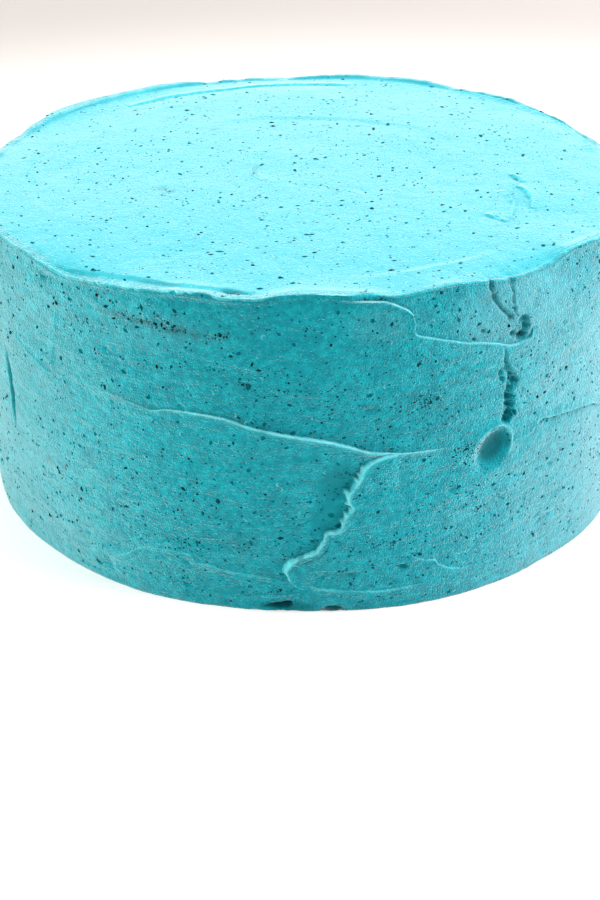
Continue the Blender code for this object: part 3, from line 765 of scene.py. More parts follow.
# Arithmetic on numbers and other nodes' outputs
def worked(tree, operation, *values):
    fixed = {i: value for i, value in enumerate(values) if isinstance(value, float)}
    linked = {i: value for i, value in enumerate(values) if i not in fixed}
    return addNode(tree, "Math", {"operation": operation, **fixed}, linked).outputs[0]


# A value carried from one range to another and held at its ends
def mapped(tree, value, low, high, least=0.0, most=1.0):
    settings = {"From Min": low, "From Max": high, "To Min": least, "To Max": most}
    return addNode(tree, "MapRange", settings, {"Value": value}).outputs[0]


# A colour mixed towards a tone by a share
def mixTone(tree, share, base, tone):
    settings = {"data_type": "RGBA", 7: colour(tone)}
    return addNode(tree, "Mix", settings, {0: share, 6: base}).outputs[2]


# A ramp between two tones, each at its place
def toneRamp(tree, value, stops):
    ramp = addNode(tree, "ValToRGB", None, {"Fac": value})
    for stop, (place, tone) in zip(ramp.color_ramp.elements, stops):
        stop.position = place
        stop.color = colour(tone)
    return ramp


# What a mesh's own numbers say at a point
def shareOf(tree, name):
    return addNode(tree, "Attribute", {"attribute_name": name}).outputs["Fac"]


def newMaterial(name):
    material = bpy.data.materials.new(name)
    material.use_nodes = True
    return material, material.node_tree, material.node_tree.nodes["Principled BSDF"]


# Butter and icing sugar beaten with dye: matt, fat-soft, slightly glossy where the blade pressed
butterCream = {
    "aqua": "#0fa9b6",
    "paleAqua": "#17b4c0",
    "topSheenAqua": "#2b9daa",  # painted sheen: the top is paler and redder, standing in for the sheen the light gives it
    "deepAqua": "#06737f",
    "pressedShade": "#034a52",  # painted shade: a darker tone laid in hollows, grooves, cracks and the scoop, where shade falls
    "paintedSheen": "#74b4bf",  # painted sheen: a paler, greyer tone where the windows' sheen whitens the cream
    "thinEdge": "#74ebf3",  # light that scatters through a thin edge makes it paler
    "thinGlow": 0.7,
    "stain": "#33332c",
    "speck": "#06424a",
    "roughness": 0.55,
    "index": 1.12,  # the fat's skin hardly mirrors
    "sheen": 0.84,  # fat and sugar glow at a grazing look
    "sheenRoughness": 0.32,
    "cloud": 22,  # mm between broad changes of tone
    "blotch": 5,
    "mottle": 1.9,
    "grain": 0.52,  # mm between the finest lumps of sugar and fat that show
    "drag": 2.6,  # mm between marks that the blade drew along its way
    "bubble": 1.3,
    "speckCell": 2.1,  # mm between dust-fine crumbs
    "grainDepth": 0.6,  # mm
    "bubbleDepth": 0.3,
    "topTexture": 0.3,  # the last coat on top is smoother than the side
    "topEdge": (0.099, 0.1012),  # m from the middle, where the side's texture takes over
}


def butterCreamMaterial():
    look = butterCream
    material, tree, shader = newMaterial("butterCream")
    where = addNode(tree, "TexCoord").outputs["Object"]
    cloud = noise(tree, where, look["cloud"], 3.0)
    blotch = noise(tree, where, look["blotch"], 2.0)
    mottle = noise(tree, where, look["mottle"], 2.0)
    grain = noise(tree, where, look["grain"], 2.5, {"Roughness": 0.6})

    # Textured is one on the side, less on the top, and nought where the cream is pressed smooth
    flatPlace = addNode(tree, "Mapping", {"Scale": (1.0, 1.0, 0.0)}, {"Vector": where})
    fromMiddle = addNode(tree, "VectorMath", {"operation": "LENGTH"}, {0: flatPlace.outputs["Vector"]})
    onSide = mapped(tree, fromMiddle.outputs["Value"], *look["topEdge"], look["topTexture"])
    pressedShade = shareOf(tree, "pressedShade")
    unpressed = worked(tree, "MINIMUM", worked(tree, "SUBTRACT", 1.0, pressedShade), 1.0)
    textured = worked(tree, "MULTIPLY", onSide, unpressed)

    ramp = toneRamp(tree, cloud, ((0.32, look["aqua"]), (0.68, look["paleAqua"])))
    # painted sheen: the top takes a paler, redder tone for the sheen the light gives it
    topSheenShare = mapped(tree, onSide, look["topTexture"], 1.0, 1.0, 0.0)
    toned = mixTone(tree, topSheenShare, ramp.outputs["Color"], look["topSheenAqua"])
    # the deeper tone between the lumps, by three sizes of noise
    for source, low, high, least, most in (
        (blotch, 0.35, 0.72, 0.0, 0.4), (mottle, 0.36, 0.64, 0.0, 0.5), (grain, 0.3, 0.56, 0.6, 0.0),
    ):
        share = worked(tree, "MULTIPLY", mapped(tree, source, low, high, least, most), textured)
        toned = mixTone(tree, share, toned, look["deepAqua"])
    # painted shade: a darker tone in hollows, grooves, cracks and the scoop stands in for their shade
    toned = mixTone(tree, worked(tree, "MULTIPLY", pressedShade, 0.95), toned, look["pressedShade"])
    # painted sheen: a paler, greyer tone where the windows' sheen whitens the cream
    toned = mixTone(tree, mapped(tree, pressedShade, -1.0, 0.0, 0.3, 0.0), toned, look["paintedSheen"])

    dust = addNode(
        tree, "TexVoronoi", {"Scale": 1000 / look["speckCell"], "Randomness": 1.0}, {"Vector": where}
    )
    chance = addNode(tree, "SeparateColor", None, {"Color": dust.outputs["Color"]})
    dustSize = mapped(tree, chance.outputs[0], 0.35, 1.0, 0.0, 0.2)
    inDust = worked(tree, "SUBTRACT", dustSize, dust.outputs["Distance"])
    toned = mixTone(tree, mapped(tree, inDust, -0.03, 0.06, 0.0, 0.75), toned, look["speck"])
    toned = mixTone(tree, shareOf(tree, "stain"), toned, look["stain"])
    thinShare = worked(tree, "MULTIPLY", shareOf(tree, "thin"), look["thinGlow"])
    toned = mixTone(tree, thinShare, toned, look["thinEdge"])
    tree.links.new(toned, shader.inputs["Base Color"])
    rough = mapped(tree, blotch, 0.0, 1.0, look["roughness"] - 0.1, look["roughness"] + 0.12)
    tree.links.new(rough, shader.inputs["Roughness"])
    shader.inputs["IOR"].default_value = look["index"]
    shader.inputs["Sheen Weight"].default_value = look["sheen"]
    shader.inputs["Sheen Roughness"].default_value = look["sheenRoughness"]

    # The finest relief: lumps, marks along the blade's way and burst bubbles
    stroke = addNode(tree, "UVMap", {"uv_map": "stroke"})
    along = addNode(tree, "Mapping", {"Scale": (0.22, 1.0, 1.0)}, {"Vector": stroke.outputs["UV"]})
    drag = noise(tree, along.outputs["Vector"], look["drag"], 4.0, {"Roughness": 0.62, "Distortion": 0.4})
    bubbles = addNode(tree, "TexVoronoi", {"Scale": 1000 / look["bubble"]}, {"Vector": where})
    bubbleDepth = mapped(tree, bubbles.outputs["Distance"], 0.0, 0.26, -1.0, 0.0)
    dragShare = worked(tree, "MULTIPLY", textured, 0.65)
    grainDepth, burstDepth = look["grainDepth"] * mm, look["bubbleDepth"] * mm
    lumpy = addNode(tree, "Bump", {"Distance": grainDepth}, {"Height": grain, "Strength": textured})
    dragged = addNode(
        tree, "Bump", {"Distance": grainDepth},
        {"Height": drag, "Normal": lumpy.outputs["Normal"], "Strength": dragShare},
    )
    burst = addNode(
        tree, "Bump", {"Strength": 0.5, "Distance": burstDepth},
        {"Height": bubbleDepth, "Normal": dragged.outputs["Normal"]},
    )
    tree.links.new(burst.outputs["Normal"], shader.inputs["Normal"])
    return material


# Crisp lips along the spatula lines. A strip lies over the coat: across it, it starts sunk in
# the coat on the low side, climbs a steep ledge to a crest, falls away slowly on the proud side
# and sinks again. Noise along it varies its height and draws its foot out into teeth.
# Each row of the profile: mm across to the proud side, mm out, then its shares of the crest's
# height, of the ledge's step, of the teeth and of the lean.
lipProfile = np.array([
    (-1.9, -0.45, 0, 0, 1, 0), (-1.4, -0.1, 0, 0, 1, 0), (-1.0, 0.02, 0, 0, 1, 0),
    (-0.62, 0.04, 0, 0, 1, 0), (-0.4, 0.05, 0.06, 0.08, 0.95, 0.1), (-0.34, 0.05, 0.4, 0.4, 0.6, 0.5),
    (-0.28, 0.05, 0.78, 0.8, 0.25, 0.8), (-0.2, 0.05, 0.97, 1, 0.05, 1), (-0.05, 0.05, 1, 1, 0, 1),
    (0.22, 0.05, 0.76, 1, 0, 0.7), (0.55, 0.05, 0.42, 1, 0, 0.4), (1.0, 0.05, 0.2, 1, 0, 0.15),
    (1.7, 0.05, 0.07, 1, 0, 0), (2.4, 0.03, 0.02, 1, 0, 0), (3.2, -0.08, 0, 1, 0, 0),
    (4.0, -0.45, 0, 1, 0, 0),
])
# How thin the cream is there, so that light glows through it
lipThin = np.array([0, 0, 0, 0.1, 0.5, 0.9, 1, 1, 0.7, 0.16, 0, 0, 0, 0, 0, 0])
# Where painted shade darkens it, on the low side
lipLowSideShade = np.array([0, 0, 0.4, 0.9, 1, 0.7, 0.2, 0, 0, 0, 0, 0, 0, 0, 0, 0])
# Crest height, teeth in mm, width of the profile, and how far the crest leans to the low side
lips = {
    "longRidge": (0.6, 0.15, 0.95, 0.28), "lapUnderRim": (0.34, 0.1, 0.7, 0.12),
    "scoopRim": (0.45, 0.15, 0.9, 0),
    "tornFin": (0.6, 1.3, 1.0, 0.15), "ridgeRightOfScoop": (0.4, 1.0, 0.9, 0.15),
    "lowRidge": (0.22, 0.3, 0.55, 0.08), "footLine": (0.17, 0.1, 0.5, 0.08),
    "lowRightRidge": (0.2, 0.3, 0.6, 0.08), "leftUpright": (0.28, 0.15, 0.6, 0),
    "leftSlant": (0.3, 0.15, 0.7, 0), "backLongRidge": (0.7, 0.15, 1.0, 0.25),
    "backTornFin": (0.6, 1.2, 1.0, 0.15), "backLap": (0.5, 0.12, 0.8, 0.15),
    "leftBackRidge": (0.65, 0.15, 1.0, 0.2), "leftBackFin": (0.6, 1.1, 1.0, 0.15),
    "rightLowRidge": (0.3, 0.35, 0.7, 0.1), "backLowRidge": (0.3, 0.35, 0.7, 0.1),
    "leftLowRidge": (0.3, 0.35, 0.7, 0.1),
}
# How tall the crest stands along the long ridge: (share of its length, factor)
longRidgeTall = (
    (0, 0.3), (0.12, 0.55), (0.3, 0.6), (0.42, 0.8), (0.6, 1.2), (0.75, 1.3), (0.85, 0.7), (1, 0.4),
)
# How wide the profile is along some lines
widthAlong = {
    "longRidge": ((0, 0.5), (0.35, 0.55), (0.5, 0.75), (0.8, 1.0), (0.9, 0.9), (1, 0.6)),
    "tornFin": (
        (0, 1.3), (0.12, 1.2), (0.3, 1.0), (0.5, 0.6), (0.6, 0.42), (0.75, 0.42), (0.84, 0.6), (0.9, 0.42),
        (1, 0.4),
    ),
}
# Where along a torn edge the teeth are long: (share of its length, factor)
teethAlong = (
    (0, 0.3), (0.06, 0.5), (0.16, 1.3), (0.3, 1.0), (0.42, 0.8), (0.52, 0.15), (0.72, 0.35), (0.85, 0.9),
    (0.95, 0.4), (1, 0.1),
)


# A path through the given places as a smooth curve, with points every "spacing" mm
def smoothPath(path, spacing):
    path = np.array(path, float)
    ends = np.concatenate([[2 * path[0] - path[1]], path, [2 * path[-1] - path[-2]]])
    t = np.linspace(0, 1, 24, endpoint=False)[:, None, None]
    before, start, stop, after = ends[:-3], ends[1:-2], ends[2:-1], ends[3:]
    curve = 0.5 * (
        2 * start + (stop - before) * t + (2 * before - 5 * start + 4 * stop - after) * t**2
        + (3 * start - before - 3 * stop + after) * t**3
    )
    curve = np.concatenate([curve.transpose(1, 0, 2).reshape(-1, 2), path[-1:]])
    length = runLengths(curve)
    steps = np.linspace(0, length[-1], max(4, round(length[-1] / spacing)))
    return np.stack([np.interp(steps, length, curve[:, i]) for i in (0, 1)], axis=1), steps


# One-dimensional noise along a strip: one cell every "cell" mm
def lineNoise(steps, cell, seed):
    return softNoise(steps / cell, steps * 0, 4096, 2, seed)


lipSpacing = 0.36  # mm between the rows of a lip


# One lip. Height out of the coat = profile x crest height x noise + the ledge's step; the places
# across move out by the teeth at the foot and by the lean at the crest.
def lipStrip(name, line, shape, seed, onTop=False):
    crest, teeth, width, lean = shape
    proud = line.get("proud", 1)
    places, steps = smoothPath(line["path"], lipSpacing)
    side = leftOf(places) * proud
    span = steps[-1]
    nearEnd = np.minimum(steps, span - steps)
    ends = rise(nearEnd, 0, min(7, span / 3))
    stepEnds = rise(nearEnd / span / line.get("taper", 0.08), 0, 1)
    if line.get("joined"):
        ends = rise(steps, 0, 1.2) * rise(span - steps, 0, 7)
    tall = crest * (1 + 0.4 * lineNoise(steps, 6, seed) + 0.2 * lineNoise(steps, 1.6, seed + 1)) * ends
    if name == "longRidge":
        tall = tall * np.interp(steps / span, *zip(*longRidgeTall))
    saw = (steps / 2.9 + 0.8 * lineNoise(steps, 5, seed + 2)) % 1
    spikes = np.clip(1 - 1.5 * saw, 0, None) ** 1.4 * (1 + 0.8 * lineNoise(steps, 3.7, seed + 3))
    long = np.interp(steps / span, *zip(*teethAlong)) if teeth > 0.8 else 1.0
    torn = teeth * long * (0.35 + spikes + 0.3 * np.abs(lineNoise(steps, 0.8, seed + 4))) * ends
    across, out, crestShare, stepShare, teethShare, leanShare = lipProfile.T[:, None, :]
    wide = width * np.interp(steps / span, *zip(*widthAlong.get(name, ((0, 1), (1, 1)))))
    across = across * wide[:, None] - torn[:, None] * teethShare - lean * ends[:, None] * leanShare
    step = ledgeShape(stepShare) * line["step"] * stepEnds[:, None] * np.exp(-np.abs(across) / line["fade"])
    comb = lineNoise(steps, 0.75, seed + 5)[:, None] + 0.6 * lineNoise(steps, 1.9, seed + 8)[:, None]
    rough = 0.15 * comb * (crestShare > 0.03) * ends[:, None]
    out = out + tall[:, None] * crestShare + step + rough * min(1, teeth + 0.25)
    out = np.where(ends[:, None] < 0.03, out - 0.5, out).ravel()
    spot = places[:, None] + side[:, None] * across[..., None]
    first, second = spot[..., 0].ravel(), spot[..., 1].ravel()
    if onTop:
        lift = rimLift(arcOf(first, second)) * nearRimShare(np.hypot(first, second))
        level = eased(cake["height"] + topRelief(first, second, name) + lift + out, cake["highest"])
        points = np.stack([first, second, level], axis=1)
    else:
        second = np.clip(second, 0, cake["height"] - cake["rimRound"])
        radial, level = sideSurface(first, second, without=name)
        points = roundPoints(first, eased(radial + out, widest(first) + 0.05), level)
    ragged = 0.28 * min(1, teeth) * lineNoise(steps, 0.7, seed + 7)
    patchy = 0.78 + 0.22 * lineNoise(steps, 2.2, seed + 6) + ragged
    thin = lipThin[None] * np.clip(tall / 0.5, 0, 1.1)[:, None] * patchy[:, None] * line.get("glow", 1)
    # painted shade: the low side of the lip takes a darker tone
    lowSideShadeAlong = line.get("lowSideShade", 0) * ends * (0.8 + 0.3 * lineNoise(steps, 1.4, seed + 9))
    lowSideShade = lipLowSideShade[None] * lowSideShadeAlong[:, None]
    return points, len(steps), len(lipProfile), proud, (np.clip(thin, 0, 1) - lowSideShade).ravel()


# Joins grids of points into one mesh; each grid is (points, rows, columns, turn, thinness). Below
# zero, thinness is the share of the dark tone that paints shade on a lip's low side.
def stripsMesh(name, grids, material):
    allPoints, allFaces, start = [], [], 0
    for points, rows, columns, turn, thin in grids:
        grid = start + np.arange(rows * columns).reshape(rows, columns)
        quads = np.stack([grid[:-1, :-1], grid[1:, :-1], grid[1:, 1:], grid[:-1, 1:]], axis=-1)
        allFaces.append(quads.reshape(-1, 4)[:, :: (1 if turn > 0 else -1)])
        allPoints.append(points)
        start += rows * columns
    piece = meshFrom(name, np.concatenate(allPoints), np.concatenate(allFaces))
    mesh = piece.data
    xyz = np.concatenate(allPoints)
    arc = arcOf(xyz[:, 0], xyz[:, 1])
    height = xyz[:, 2]
    setShare(mesh, "stain", stainAt(arc, height))
    thinness = np.concatenate([np.broadcast_to(grid[4], len(grid[0])) for grid in grids])
    setShare(mesh, "thin", thinness.clip(0, 1))
    onSheet = sideShadeAndSheen(arc, height) * (height < sheet["top"])
    setShare(mesh, "pressedShade", onSheet if name == "frontSheet" else (-thinness).clip(0, 1))
    corners = cornerPoints(mesh)
    setStrokes(mesh, arc[corners], height[corners])
    mesh.materials.append(material)
    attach(piece, "root")
    return piece


# Curls that a dragged crumb leaves: thin crescents. Place, length, turn in degrees
knownCurls = (
    (-17.5, 60.6, 2.6, -35), (-25, 54.0, 2.4, -60), (-9, 42.0, 2.6, 5), (-7.5, 40.5, 2.2, 0),
    (-33, 70.2, 2.6, 20), (-30, 71.6, 2.0, 10), (-26, 69.0, 2.2, 15), (-36, 55.4, 2.0, -20),
    (-24.5, 61.4, 2.2, 30), (-20, 62.6, 1.8, 0), (0.6, 12.0, 2.4, -70), (2.2, 12.8, 2.4, 60),
    (5.2, 11.4, 2.2, 75), (31.2, 12.8, 2.6, -40), (-18, 30.0, 1.8, 50), (-3, 32.6, 1.4, 0),
    (-58, 76, 2.4, 10), (-35, 8.4, 2.4, 40), (-38, 12.0, 2.0, 30), (-20, 8.0, 2.0, 20),
    (20, 71.0, 2.0, 10), (36, 66.0, 1.8, 40), (44, 61.0, 2.0, 20), (40, 70, 1.8, -20),
    (57, 30, 2.0, 0), (45, 20, 2.2, 10), (64, 62, 2.2, 30), (-56, 4.6, 3.0, 40), (-53, 6.8, 2.6, 20),
    (-60, 6.6, 2.6, -30), (72, 60, 2.0, 20), (34, 88, 2.4, 20), (41, 88.4, 2.0, 0), (22, 84, 1.8, 0),
)
# Across a curl: mm to the side, mm out, and how thin it is
curlAcross = np.array([-0.42, -0.26, -0.08, 0.14, 0.42])
curlOut = np.array([-0.2, 0.16, 0.34, 0.12, -0.2])
curlThin = [0, 0.3, 0.6, 0.2, 0]
curlRows = 11
extraCurls = {"count": 80, "seed": 211}


# The known curls and some more at seeded random places. Each runs along a circle's arc, and
# is widest and tallest in the middle of its length.
def curlGrids():
    random = np.random.default_rng(extraCurls["seed"])
    extra = extraCurls["count"]
    curls = np.concatenate([
        np.array(knownCurls),
        np.stack([
            random.uniform(-girth / 2, girth / 2, extra), random.uniform(5, 90, extra),
            random.uniform(0.9, 2.6, extra), random.uniform(-80, 80, extra),
        ], axis=1),
    ])
    bend = random.uniform(90, 200, len(curls))
    flip = np.where(random.random(len(curls)) < 0.5, -1, 1)
    grids = []
    for (arc, height, length, turn), arch, mirror in zip(curls, bend, flip):
        swing = np.radians(np.linspace(-arch / 2, arch / 2, curlRows))
        radius = length / np.radians(arch)
        line = np.stack([radius * (np.cos(swing) - 1) * mirror, radius * np.sin(swing) * 0.8], axis=1)
        line = line + random.normal(0, 0.06, line.shape)
        cosine, sine = math.cos(math.radians(turn)), math.sin(math.radians(turn))
        line = line @ np.array([[cosine, sine], [-sine, cosine]]) + (arc, height)
        side = leftOf(line)
        share = np.sin(np.linspace(0, math.pi, curlRows))[:, None]
        across = curlAcross[None] * (0.5 + 0.5 * share)
        out = curlOut[None] * (0.35 + 0.75 * share) - 0.04
        spot = line[:, None] + side[:, None] * across[..., None]
        first, second = spot[..., 0].ravel(), spot[..., 1].ravel()
        radial, level = sideSurface(first, second)
        points = roundPoints(first, radial + out.ravel(), level)
        grids.append((points, curlRows, len(curlThin), 1, np.tile(curlThin, curlRows)))
    return grids


# The rim's flap: where the side's cream was pushed up past the top and folded a little outwards.
# Each row: mm outwards from the rim, mm up, share of the lip's reach, and how thin it is
flapProfile = np.array([
    (-4.2, -0.5, 0, 0), (-3.2, -0.08, 0, 0), (-2.3, 0.04, 0, 0), (-1.5, 0.1, 0.05, 0.1),
    (-0.9, 0.14, 0.2, 0.3), (-0.35, 0.14, 0.6, 0.7), (0.02, 0.03, 1, 1), (0.08, -0.18, 1.05, 0.9),
    (-0.02, -0.45, 0.8, 0.5), (-0.12, -0.85, 0.4, 0.2), (-0.12, -1.4, 0.1, 0), (-0.16, -2.0, 0, 0),
    (-0.6, -2.8, 0, 0),
])
flapSpacing = 0.45  # mm between its rows round the rim


def flapGrid():
    steps = np.arange(0, girth, flapSpacing)
    arc = steps - girth / 2
    lip = lipOut(arc)
    tear = np.abs(rimNoise(arc, 3.1, 401)) ** 1.3 + 0.5 * np.abs(rimNoise(arc, 1.2, 403))
    present = rise(rimNoise(arc, 7, 407), -0.55, 0.35)
    reach = lip * (0.2 + 1.5 * tear * present)
    droop = 0.3 * lip * rimNoise(arc, 5, 405)
    outward, upward, share, thin = flapProfile.T[:, None, :]
    radial, level = sideSurface(arc, np.full(arc.shape, cake["height"] - cake["rimRound"]))
    radial = eased((radial - lip * 0.55)[:, None] + outward + reach[:, None] * share, widest(arc)[:, None])
    x, y = radial * np.sin(arc / cake["radius"])[:, None], -radial * np.cos(arc / cake["radius"])[:, None]
    height = cake["height"] + rimLift(arc)[:, None]
    height = height + topRelief(x.ravel(), y.ravel()).reshape(x.shape) * (outward < 0)
    height = height + upward + (droop + 0.4 * lip)[:, None] * share - 0.12
    points = np.stack([x, y, eased(height, cake["highest"])], axis=-1).reshape(-1, 3)
    strength = (np.clip(lip / 0.8, 0, 1) * (0.3 + 0.6 * present))[:, None] * thin
    # the seam closes at the back: the last row repeats the first
    points = np.concatenate([points, points[: len(flapProfile)]])
    strength = np.concatenate([strength, strength[:1]]).ravel()
    return points, len(arc) + 1, len(flapProfile), 1, strength


# The lips along the lines on the top, written as those of the side
topLips = {
    "rightArc": (0.28, 0.5, 0.8, 0), "rightInnerArc": (0.22, 0.4, 0.7, 0),
    "rightMark": (0.24, 0.4, 0.6, 0), "rightDash": (0.24, 0.4, 0.6, 0), "middleArc": (0.14, 0.15, 0.9, 0),
    "rightBackLip": (0.35, 0.3, 1.0, 0), "backCrease": (0.3, 0.3, 1.0, 0),
}


# The sheet: rows from the foot up, columns finer in the middle. Its sides and top dip into the
# drum, and at the foot it turns in below.
def sheetGrid():
    arcs = [0.0]
    while arcs[-1] < sheet["reach"]:
        wide = rise(arcs[-1], 65, 110)
        arcs.append(arcs[-1] + sheet["fine"] + (sheet["coarse"] - sheet["fine"]) * wide)
    arcs = np.array([-a for a in arcs[:0:-1]] + arcs)
    heights = np.linspace(0, sheet["top"], sheet["rows"])
    arc, rest = np.meshgrid(arcs, heights)
    rows, columns = arc.shape
    arc, rest = arc.ravel(), rest.ravel()
    radial, level = sideSurface(arc, rest)
    edge = np.minimum(arcs[-1] - np.abs(arc), sheet["top"] - rest)
    radial += 0.03 - 0.5 * (1 - rise(edge, 0, 0.9))
    radial = np.concatenate([radial[:columns] - 4.0, radial])
    arc = np.concatenate([arc[:columns], arc])
    level = np.concatenate([level[:columns], level])
    return roundPoints(arc, radial, level), rows + 1, columns, -1, 0.0


def buildLips(material):
    grids = []
    for seed, (name, shape) in enumerate(lips.items()):
        grids.append(lipStrip(name, sideLines[name], shape, 300 + 7 * seed))
    for seed, (name, shape) in enumerate(topLips.items()):
        grids.append(lipStrip(name, topLines[name], shape, 500 + 7 * seed, onTop=True))
    stripsMesh("spatulaLips", grids, material)
    stripsMesh("rimFlap", [flapGrid()], material)
    stripsMesh("dragCurls", curlGrids(), material)


# Brown smears where a blade drew crumbs along: arc, height, half length, half height, strength
stains = (
    (-52, 87.5, 5, 1.4, 0.5), (-45, 87, 7, 1.6, 0.6), (-36, 86, 6, 1.3, 0.7), (-27, 85.6, 9, 1.2, 0.6),
    (-30, 21, 16, 3.0, 0.25), (-4, 17, 7, 3, 0.22), (-86, 32, 2.0, 1.2, 0.6), (-78, 33, 1.5, 1.2, 0.7),
    (-74, 28, 1.5, 1.2, 0.6), (-56, 64, 2.2, 1.6, 0.35), (30, 66, 3, 2, 0.3), (36, 63, 3, 2, 0.3),
    (150, 70, 10, 2, 0.3), (230, 62, 12, 2, 0.25), (-180, 70, 12, 2, 0.3), (-280, 40, 9, 2, 0.3),
    (250, 18, 10, 3, 0.2), (-220, 22, 12, 3, 0.2),
)


# Patches where many small crumbs lie together: arc, height, half length, half height, how many
crumbPatches = (
    (-51, 87.8, 3.5, 1.0, 26), (-44.5, 87.0, 4.5, 0.9, 34), (-37, 86.4, 4.0, 0.9, 40),
    (-24, 85.4, 4.0, 0.8, 26),
    (45.2, 47.4, 3.2, 2.8, 90), (-30, 20.5, 14, 1.6, 90), (-4, 17.6, 5, 1.8, 40), (18, 22.0, 9, 1.8, 50),
    (32, 65, 4.5, 2.2, 46), (-59.6, 64.6, 1.4, 0.9, 12), (-80, 30, 4, 2.4, 18), (12, 40, 9, 8, 60),
    (-14, 72, 14, 5, 60), (44, 33, 8, 4, 40), (8, 65, 16, 10, 130), (30, 61, 13, 9, 110),
    (40, 18, 14, 8, 60), (150, 70, 9, 1.6, 50), (230, 62, 10, 1.6, 50),
    (-180, 70, 10, 1.6, 50), (-280, 40, 8, 1.6, 40), (250, 18, 9, 2, 40), (-220, 22, 10, 2, 40),
)


# Where the cream is pressed smooth and painted darker as shade: arc, height, half length, half height, turn
# in degrees, share
pressedShadePlaces = (
    (54.4, 45.6, 6.6, 4.6, 50, 0.9), (7.5, 42, 8, 6, 60, 0.55), (5, 31, 7, 5, 50, 0.4),
    (-107, 48, 1.8, 16, 6, 0.8), (59, 59, 1.6, 8, 0, 0.7), (62.8, 80.8, 2.2, 3.4, 0, 0.7),
    (-6, 1.5, 9, 1.8, 0, 0.7), (248, 34, 6, 3.6, -28, 0.6), (-205, 31, 6.6, 3.8, 20, 0.6),
    (198, 38, 8, 7, 60, 0.25), (176, 70.5, 1.8, 5, 0, 0.7), (-266, 75.4, 3, 2, 30, 0.6),
)
# Where a paler tone paints the sheen of the windows on the cream, written the same way
paintedSheenPlaces = (
    (63, 86, 26, 13, 0, 0.85), (98, 60, 40, 40, 0, 0.45), (64, 24, 30, 18, 0, 0.15),
    (-85, 12, 22, 12, 0, 0.3), (-58, 85, 36, 8, 0, 0.35), (22, 89, 14, 6, 0, 0.3),
    (-92, 30, 14, 16, 0, 0.3), (176, 84, 26, 13, 0, 0.5), (-160, 20, 30, 16, 0, 0.4),
    (262, 62, 30, 20, 0, 0.4), (-255, 80, 26, 14, 0, 0.4),
)


def placeShare(arc, height, places=pressedShadePlaces, span=girth):
    share = np.zeros(arc.shape)
    for centre, level, halfA, halfB, turn, strength in places:
        ratio = ellipseRatio(wrapped(arc - centre, span), height - level, halfA, halfB, turn)
        share = np.maximum(share, strength * rise(1.15 - ratio, 0, 0.6))
    return share


# Above zero the share of the dark tone that paints shade, below zero of the pale one that paints sheen
def sideShadeAndSheen(arc, height):
    return placeShare(arc, height) - placeShare(arc, height, paintedSheenPlaces)


def stainAt(arc, height):
    stain = np.zeros(arc.shape)
    for centre, level, halfLength, halfHeight, strength in stains:
        off = wrapped(arc - centre)
        spot = np.exp(-((off / halfLength) ** 2) - ((height - level) / halfHeight) ** 2)
        streak = 0.5 + 0.5 * sideNoise(arc, height, 3.5, 0.9, 83)
        stain = np.maximum(stain, strength * spot * streak * (height < cake["height"] - 2))
    return stain


def buildCream(material):
    points, sideFaces, topFaces, footRing, arc, height = creamGrid()
    cream = meshFrom("butterCreamCoat", points, np.concatenate([sideFaces, topFaces]), footRing[::-1])
    mesh = cream.data
    setShare(mesh, "stain", stainAt(arc, height))
    across, up = points[:, 0], points[:, 1]
    # painted shade: the inner foot of the ridge inside the rim gets the darker tone for the shade there
    ridgeFootShade = 0.45 * np.clip(ridgeInside(arc), 0, 1)  # its inner foot looks deeper
    ridgeFootShade = ridgeFootShade * np.exp(-(((np.hypot(across, up) - 99.3) / 0.9) ** 2))
    onTop = np.maximum(placeShare(across, up, pressedShadeOnTop, 1e6), ridgeFootShade)
    setShare(mesh, "pressedShade", np.where(height < cake["height"] - 1, sideShadeAndSheen(arc, height), onTop))

    # The strokes unroll round the side and lie flat on the top
    loops = cornerPoints(mesh)
    faceOf = np.repeat(np.arange(len(mesh.polygons)), [len(p.vertices) for p in mesh.polygons])
    loopArc = arc[loops]
    first = np.zeros(len(mesh.polygons))
    first[faceOf[::-1]] = loopArc[::-1]
    loopArc = first[faceOf] + wrapped(loopArc - first[faceOf])  # no face spans the seam
    onSide = faceOf < len(sideFaces)
    along = np.where(onSide, loopArc, points[loops, 0] * 3.6)
    setStrokes(mesh, along, np.where(onSide, height[loops], points[loops, 1] + 300))
    mesh.materials.append(material)
    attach(cream, "root")
    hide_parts("frosted_cake")
    return cream


# Random places on the coats, evenly by area: positions, outward normals and the random source.
# The drum's faces that lie sunk behind the sheet are left out.
def placesOn(coats, count, seed, least=1.0):
    tris = []
    for coat in coats:
        mesh = coat.data
        mesh.calc_loop_triangles()
        corners = np.empty(len(mesh.loop_triangles) * 3, int)
        mesh.loop_triangles.foreach_get("vertices", corners)
        points = np.empty(len(mesh.vertices) * 3)
        mesh.vertices.foreach_get("co", points)
        tri = (points.reshape(-1, 3) / mm)[corners.reshape(-1, 3)]
        arc = arcOf(tri[:, 0, 0], tri[:, 0, 1])
        covered = (np.abs(arc) < sheet["reach"] - 1) & (tri[:, 0, 2] < sheet["top"] - 1)
        tris.append(tri[~covered] if coat is coats[0] else tri[covered])
    tri = np.concatenate(tris)
    cross = np.cross(tri[:, 1] - tri[:, 0], tri[:, 2] - tri[:, 0])
    area = np.linalg.norm(cross, axis=1) * (tri[:, :, 2].min(axis=1) > least)
    random = np.random.default_rng(seed)
    picked = np.searchsorted(np.cumsum(area) / area.sum(), random.random(count))
    root = np.sqrt(random.random(count))[:, None]
    other = random.random(count)[:, None]
    at = tri[picked, 0] * (1 - root) + tri[picked, 1] * root * (1 - other) + tri[picked, 2] * root * other
    normal = cross[picked] / np.linalg.norm(cross[picked], axis=1)[:, None]
    return at, normal, random


